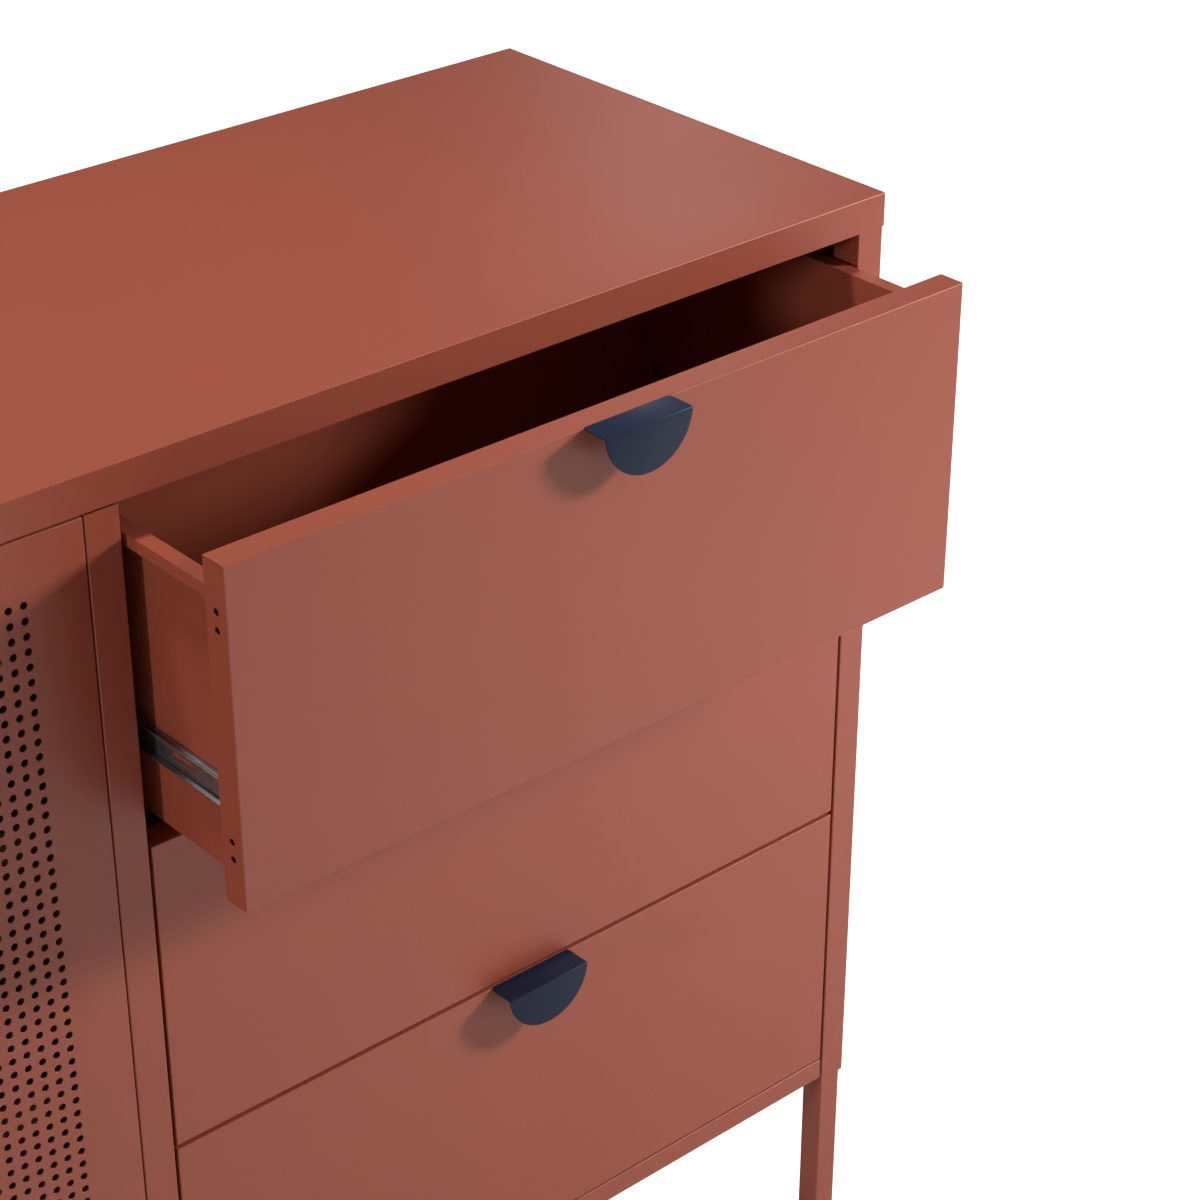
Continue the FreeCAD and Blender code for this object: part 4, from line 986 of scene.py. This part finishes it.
@dataclass
class Fasteners:
    """Pan-head screws with a cross recess, and domed rivets."""

    head: float = 3.5 * MM
    shank: float = 1.9 * MM
    rivet_head: float = 2.6 * MM
    rivet_rise: float = 0.8 * MM
    rivet_shank: float = 1.5 * MM
    back_rise: float = 1.4 * MM
    slide_rise: float = 0.9 * MM
    rivet_largest: float = 6 * MM
    arm: float = 0.56
    arm_half: float = 0.13
    taper: float = 0.72
    flat: float = 0.66
    skirt: float = 0.3
    recess_floor: float = 0.12
    point: float = 0.25
    sides: int = 24

    def cross(self) -> np.ndarray:
        """The outline of a cross recess with a unit radius.

        Returns:
            Sixteen points, four to a quadrant.
        """
        long, half = self.arm, self.arm_half
        quadrants = [np.array([(long, 0), (long, half), (half, half), (half, long)])]
        for _ in range(3):
            quadrants.append(quadrants[-1] @ np.array([[0, 1], [-1, 0]]))
        return np.concatenate(quadrants)

    def add_screw(self, patches: Patches, base: np.ndarray, axis: int, sense: float, rise: float,
                  reach: float) -> None:
        """A pan head over its shank, with a tapered cross recess sunk in the head.

        Args:
            patches: where it goes.
            base: middle of the head's underside.
            axis: the screw's axis.
            sense: +1 or -1, from the base to the top of the head.
            rise: height of the head.
            reach: length of the shank.
        """
        first, second = [each for each in range(3) if each != axis]

        def ring(flat: np.ndarray, height: float) -> np.ndarray:
            """Lays flat points across the screw at a height over the base.

            Args:
                flat: array of two coordinates.
                height: metres along the screw.

            Returns:
                The places.
            """
            points = np.zeros((len(flat), 3)) + base
            points[:, first] += flat[:, 0]
            points[:, second] += flat[:, 1]
            points[:, axis] += sense * height
            return points

        turns = arc(0, 360, self.sides)[:-1]
        circle = np.stack([np.cos(turns), np.sin(turns)], -1)
        roll = arc(0, 90, 5)
        flat_radius = self.flat * self.head
        profile = [(flat_radius + (self.head - flat_radius) * math.sin(angle),
                    rise * (self.skirt + (1 - self.skirt) * math.cos(angle))) for angle in roll]
        profile += [(self.head, 0.0), (self.shank, 0.0), (self.shank, -reach + self.shank),
                    (self.point * self.shank, -reach)]
        patches.grid(np.stack([ring(circle * radius, height) for radius, height in profile]),
                     around=True)
        patches.polygon(ring(circle * profile[-1][0], -reach))
        outline = self.cross() * self.head
        upper, lower = ring(outline, rise), ring(outline * self.taper, rise * self.recess_floor)
        rim = ring(circle * profile[0][0], rise)
        quarter = self.sides // 4
        for number in range(4):
            start, end = number * quarter, (number + 1) * quarter + 1
            bow = np.take(rim, range(start, end), axis=0, mode="wrap")
            inside = np.take(upper, range(number * 4, number * 4 + 5), axis=0, mode="wrap")
            patches.polygon(bow, inside[::-1])
        patches.grid(np.stack([upper, lower]), around=True)
        patches.polygon(lower)

    def add_rivet(self, patches: Patches, low: np.ndarray, high: np.ndarray) -> None:
        """A rivet along Y: a dome, radius r sin a and height h cos a, over its shank.

        Args:
            patches: where it goes.
            low: low corner of its solid.
            high: high corner.
        """
        dome = arc(0, 90, 6)
        profile = np.concatenate([
            np.stack([self.rivet_head * np.sin(dome), self.rivet_rise * np.cos(dome)], -1),
            [(self.rivet_shank, 0.0), (self.rivet_shank, low[1] + self.rivet_rise - high[1]),
             (0.0, low[1] + self.rivet_rise - high[1])]])
        middle = (low + high) / 2
        base = np.array([middle[0], low[1] + self.rivet_rise, middle[2]])
        turned_about(patches, profile, base, 1, -1.0, self.sides)

    def build(self, finishes: Finishes) -> None:
        """Makes the screws of the back, of the slides and of the drawers.

        Args:
            finishes: the materials.
        """
        patches = Patches()
        rise = self.back_rise
        for low, high in islands("back_screws"):
            base = np.array([(low[0] + high[0]) / 2, high[1] - rise, (low[2] + high[2]) / 2])
            self.add_screw(patches, base, 1, 1.0, rise, high[1] - low[1] - rise)
        piece("back_panel_screws", "cabinet", patches, ["back_screws"], Finish.ZINC, finishes)
        rise = self.slide_rise
        bay = np.mean(islands("slide_screws"), axis=(0, 1))[0]
        for node, body, inward in (("slide_screws", "cabinet", 1.0),
                                   *((f"drawer_{number}_screws", f"drawer_{number}", -1.0)
                                     for number in DRAWERS)):
            patches = Patches()
            for low, high in islands(node):
                middle = (low + high) / 2
                if max(high[0] - low[0], high[2] - low[2]) < self.rivet_largest:
                    self.add_rivet(patches, low, high)
                    continue
                sense = inward if middle[0] < bay else -inward
                base = middle.copy()
                base[0] = (high[0] - rise) if sense > 0 else (low[0] + rise)
                self.add_screw(patches, base, 0, sense, rise, high[0] - low[0] - rise)
            piece(f"{node}_pan_head", body, patches, [node], Finish.ZINC, finishes)


@dataclass
class Studio:
    """Floor, backdrop, lamps and camera."""

    camera_place: Point = (-0.79476, -1.46894, 1.66475)
    camera_turn: Point = (60.849, 0.0, -41.385)
    lens: float = 91.02
    floor_reach: float = 14.0
    fill: float = 0.14
    sky_sheen: float = 0.144
    floor_sheen: tuple[float, float] = (0.1, 0.5)
    sheen_tint: Colour = (1.0, 0.93, 0.8)
    floor_glow: tuple[float, float] = (0.8, 1.1)
    glow_reach: tuple[float, float] = (0.9, 2.2)

    def add_camera(self) -> None:
        """Stands the camera above the left front corner, looking down to the right."""
        data = bpy.data.cameras.new("camera")
        data.lens = self.lens
        data.sensor_width = 36.0
        data.clip_start, data.clip_end = 0.01, 50.0
        camera = bpy.data.objects.new("camera", data)
        camera.location = self.camera_place
        camera.rotation_euler = [math.radians(angle) for angle in self.camera_turn]
        bpy.context.scene.collection.objects.link(camera)
        bpy.context.scene.camera = camera

    def add_floor(self) -> None:
        """A pale floor that keeps the shadow, and shows white beyond it."""
        reach = self.floor_reach
        mesh = bpy.data.meshes.new("floor")
        corners = [(-reach, -reach, 0), (reach, -reach, 0), (reach, reach, 0), (-reach, reach, 0)]
        mesh.from_pydata(corners, [], [(0, 1, 2, 3)])
        floor = bpy.data.objects.new("floor", mesh)
        bpy.context.scene.collection.objects.link(floor)
        graph = Graph("pale floor")
        graph.shader.inputs["Base Color"].default_value = (0.8, 0.8, 0.8, 1)
        graph.shader.inputs["Roughness"].default_value = 0.9
        path = graph.tree.nodes.new("ShaderNodeLightPath")
        away = graph.tree.nodes.new("ShaderNodeVectorMath")
        away.operation = "LENGTH"
        graph.link(graph.place, away.inputs[0])
        total = None
        for ray, strengths in (("Is Camera Ray", self.floor_glow),
                               ("Is Glossy Ray", self.floor_sheen)):
            seen = graph.tree.nodes.new("ShaderNodeMath")
            seen.operation = "MULTIPLY_ADD"
            seen.inputs[2].default_value = 0.0
            graph.link(path.outputs[ray], seen.inputs[0])
            graph.link(graph.ramped(away.outputs["Value"], *strengths, *self.glow_reach),
                       seen.inputs[1])
            if total:
                graph.link(total, seen.inputs[2])
            total = seen.outputs[0]
        graph.link(graph.blended(path.outputs["Is Glossy Ray"], (1.0, 1.0, 1.0), self.sheen_tint),
                   graph.shader.inputs["Emission Color"])
        graph.link(total, graph.shader.inputs["Emission Strength"])
        mesh.materials.append(graph.material)

    def add_world(self) -> None:
        """A plain sky: white to the camera, soft grey in reflections, a faint fill elsewhere."""
        world = bpy.data.worlds.new("studio")
        bpy.context.scene.world = world
        world.use_nodes = True
        nodes, links = world.node_tree.nodes, world.node_tree.links
        nodes.clear()
        output = nodes.new("ShaderNodeOutputWorld")
        path = nodes.new("ShaderNodeLightPath")
        shader = nodes.new("ShaderNodeBackground")
        shader.inputs["Strength"].default_value = self.fill
        shader.inputs["Color"].default_value = (1.0, 0.99, 0.98, 1)
        for ray, strength in (("Is Glossy Ray", self.sky_sheen), ("Is Camera Ray", 1.0),
                              ("Is Transmission Ray", 1.0)):
            mix, seen = nodes.new("ShaderNodeMixShader"), nodes.new("ShaderNodeBackground")
            seen.inputs["Strength"].default_value = strength
            seen.inputs["Color"].default_value = (1.0, 1.0, 1.0, 1)
            links.new(path.outputs[ray], mix.inputs[0])
            links.new(shader.outputs[0], mix.inputs[1])
            links.new(seen.outputs[0], mix.inputs[2])
            shader = mix
        links.new(shader.outputs[0], output.inputs["Surface"])

    def add_lamp(self, name: str, place: Point, target: Point, size: float, power: float) -> None:
        """A square soft box that faces a point.

        Args:
            name: the lamp's name.
            place: its centre.
            target: what it faces.
            size: its side.
            power: watts.
        """
        data = bpy.data.lights.new(name, "AREA")
        data.size = size
        data.energy = power
        lamp = bpy.data.objects.new(name, data)
        lamp.location = place
        facing = Vector(target) - Vector(place)
        lamp.rotation_euler = facing.to_track_quat("-Z", "Y").to_euler()
        bpy.context.scene.collection.objects.link(lamp)

    def build(self) -> None:
        """Sets up the whole studio."""
        self.add_camera()
        self.add_floor()
        self.add_world()
        self.add_lamp("key", (1.99, -1.28, 1.46), (0.2, -0.2, 0.6), 0.38, 45.5)
        self.add_lamp("side", (-3.47, -0.54, 1.22), (0.0, -0.15, 0.7), 0.3, 33.0)
        self.add_lamp("top", (-0.24, 0.12, 2.3), (0.2, 0.0, 0.9), 0.16, 16.8)
        self.add_lamp("rim", (1.98, 1.5, 1.75), (0.56, 0.03, 0.9), 0.2, 1.1)
        bpy.context.scene.view_settings.view_transform = "Standard"


def dress_nodes(finishes: Finishes) -> None:
    """Gives every CAD node the finish of its slot in the record.

    Args:
        finishes: the materials.
    """
    slots = {part["node"]: part["material_slot"] for part in frame["record"]["subparts"]
             if "material_slot" in part and "node" in part}
    for name, node in frame["nodes"].items():
        finishes.dress(node, Finish(slots.get(name, Finish.TERRACOTTA.value)))
        LOG.info("dressed %s", name)


def main() -> None:
    """Builds the studio and dresses the sideboard."""
    logging.basicConfig(level=logging.INFO, format="%(message)s")
    finishes = Finishes.made()
    dress_nodes(finishes)
    PerforatedDoors().build(finishes)
    HalfMoonPulls().build(finishes)
    DrawerMembers().build(finishes)
    Fasteners().build(finishes)
    Studio().build()


if __name__ == "__main__":
    main()
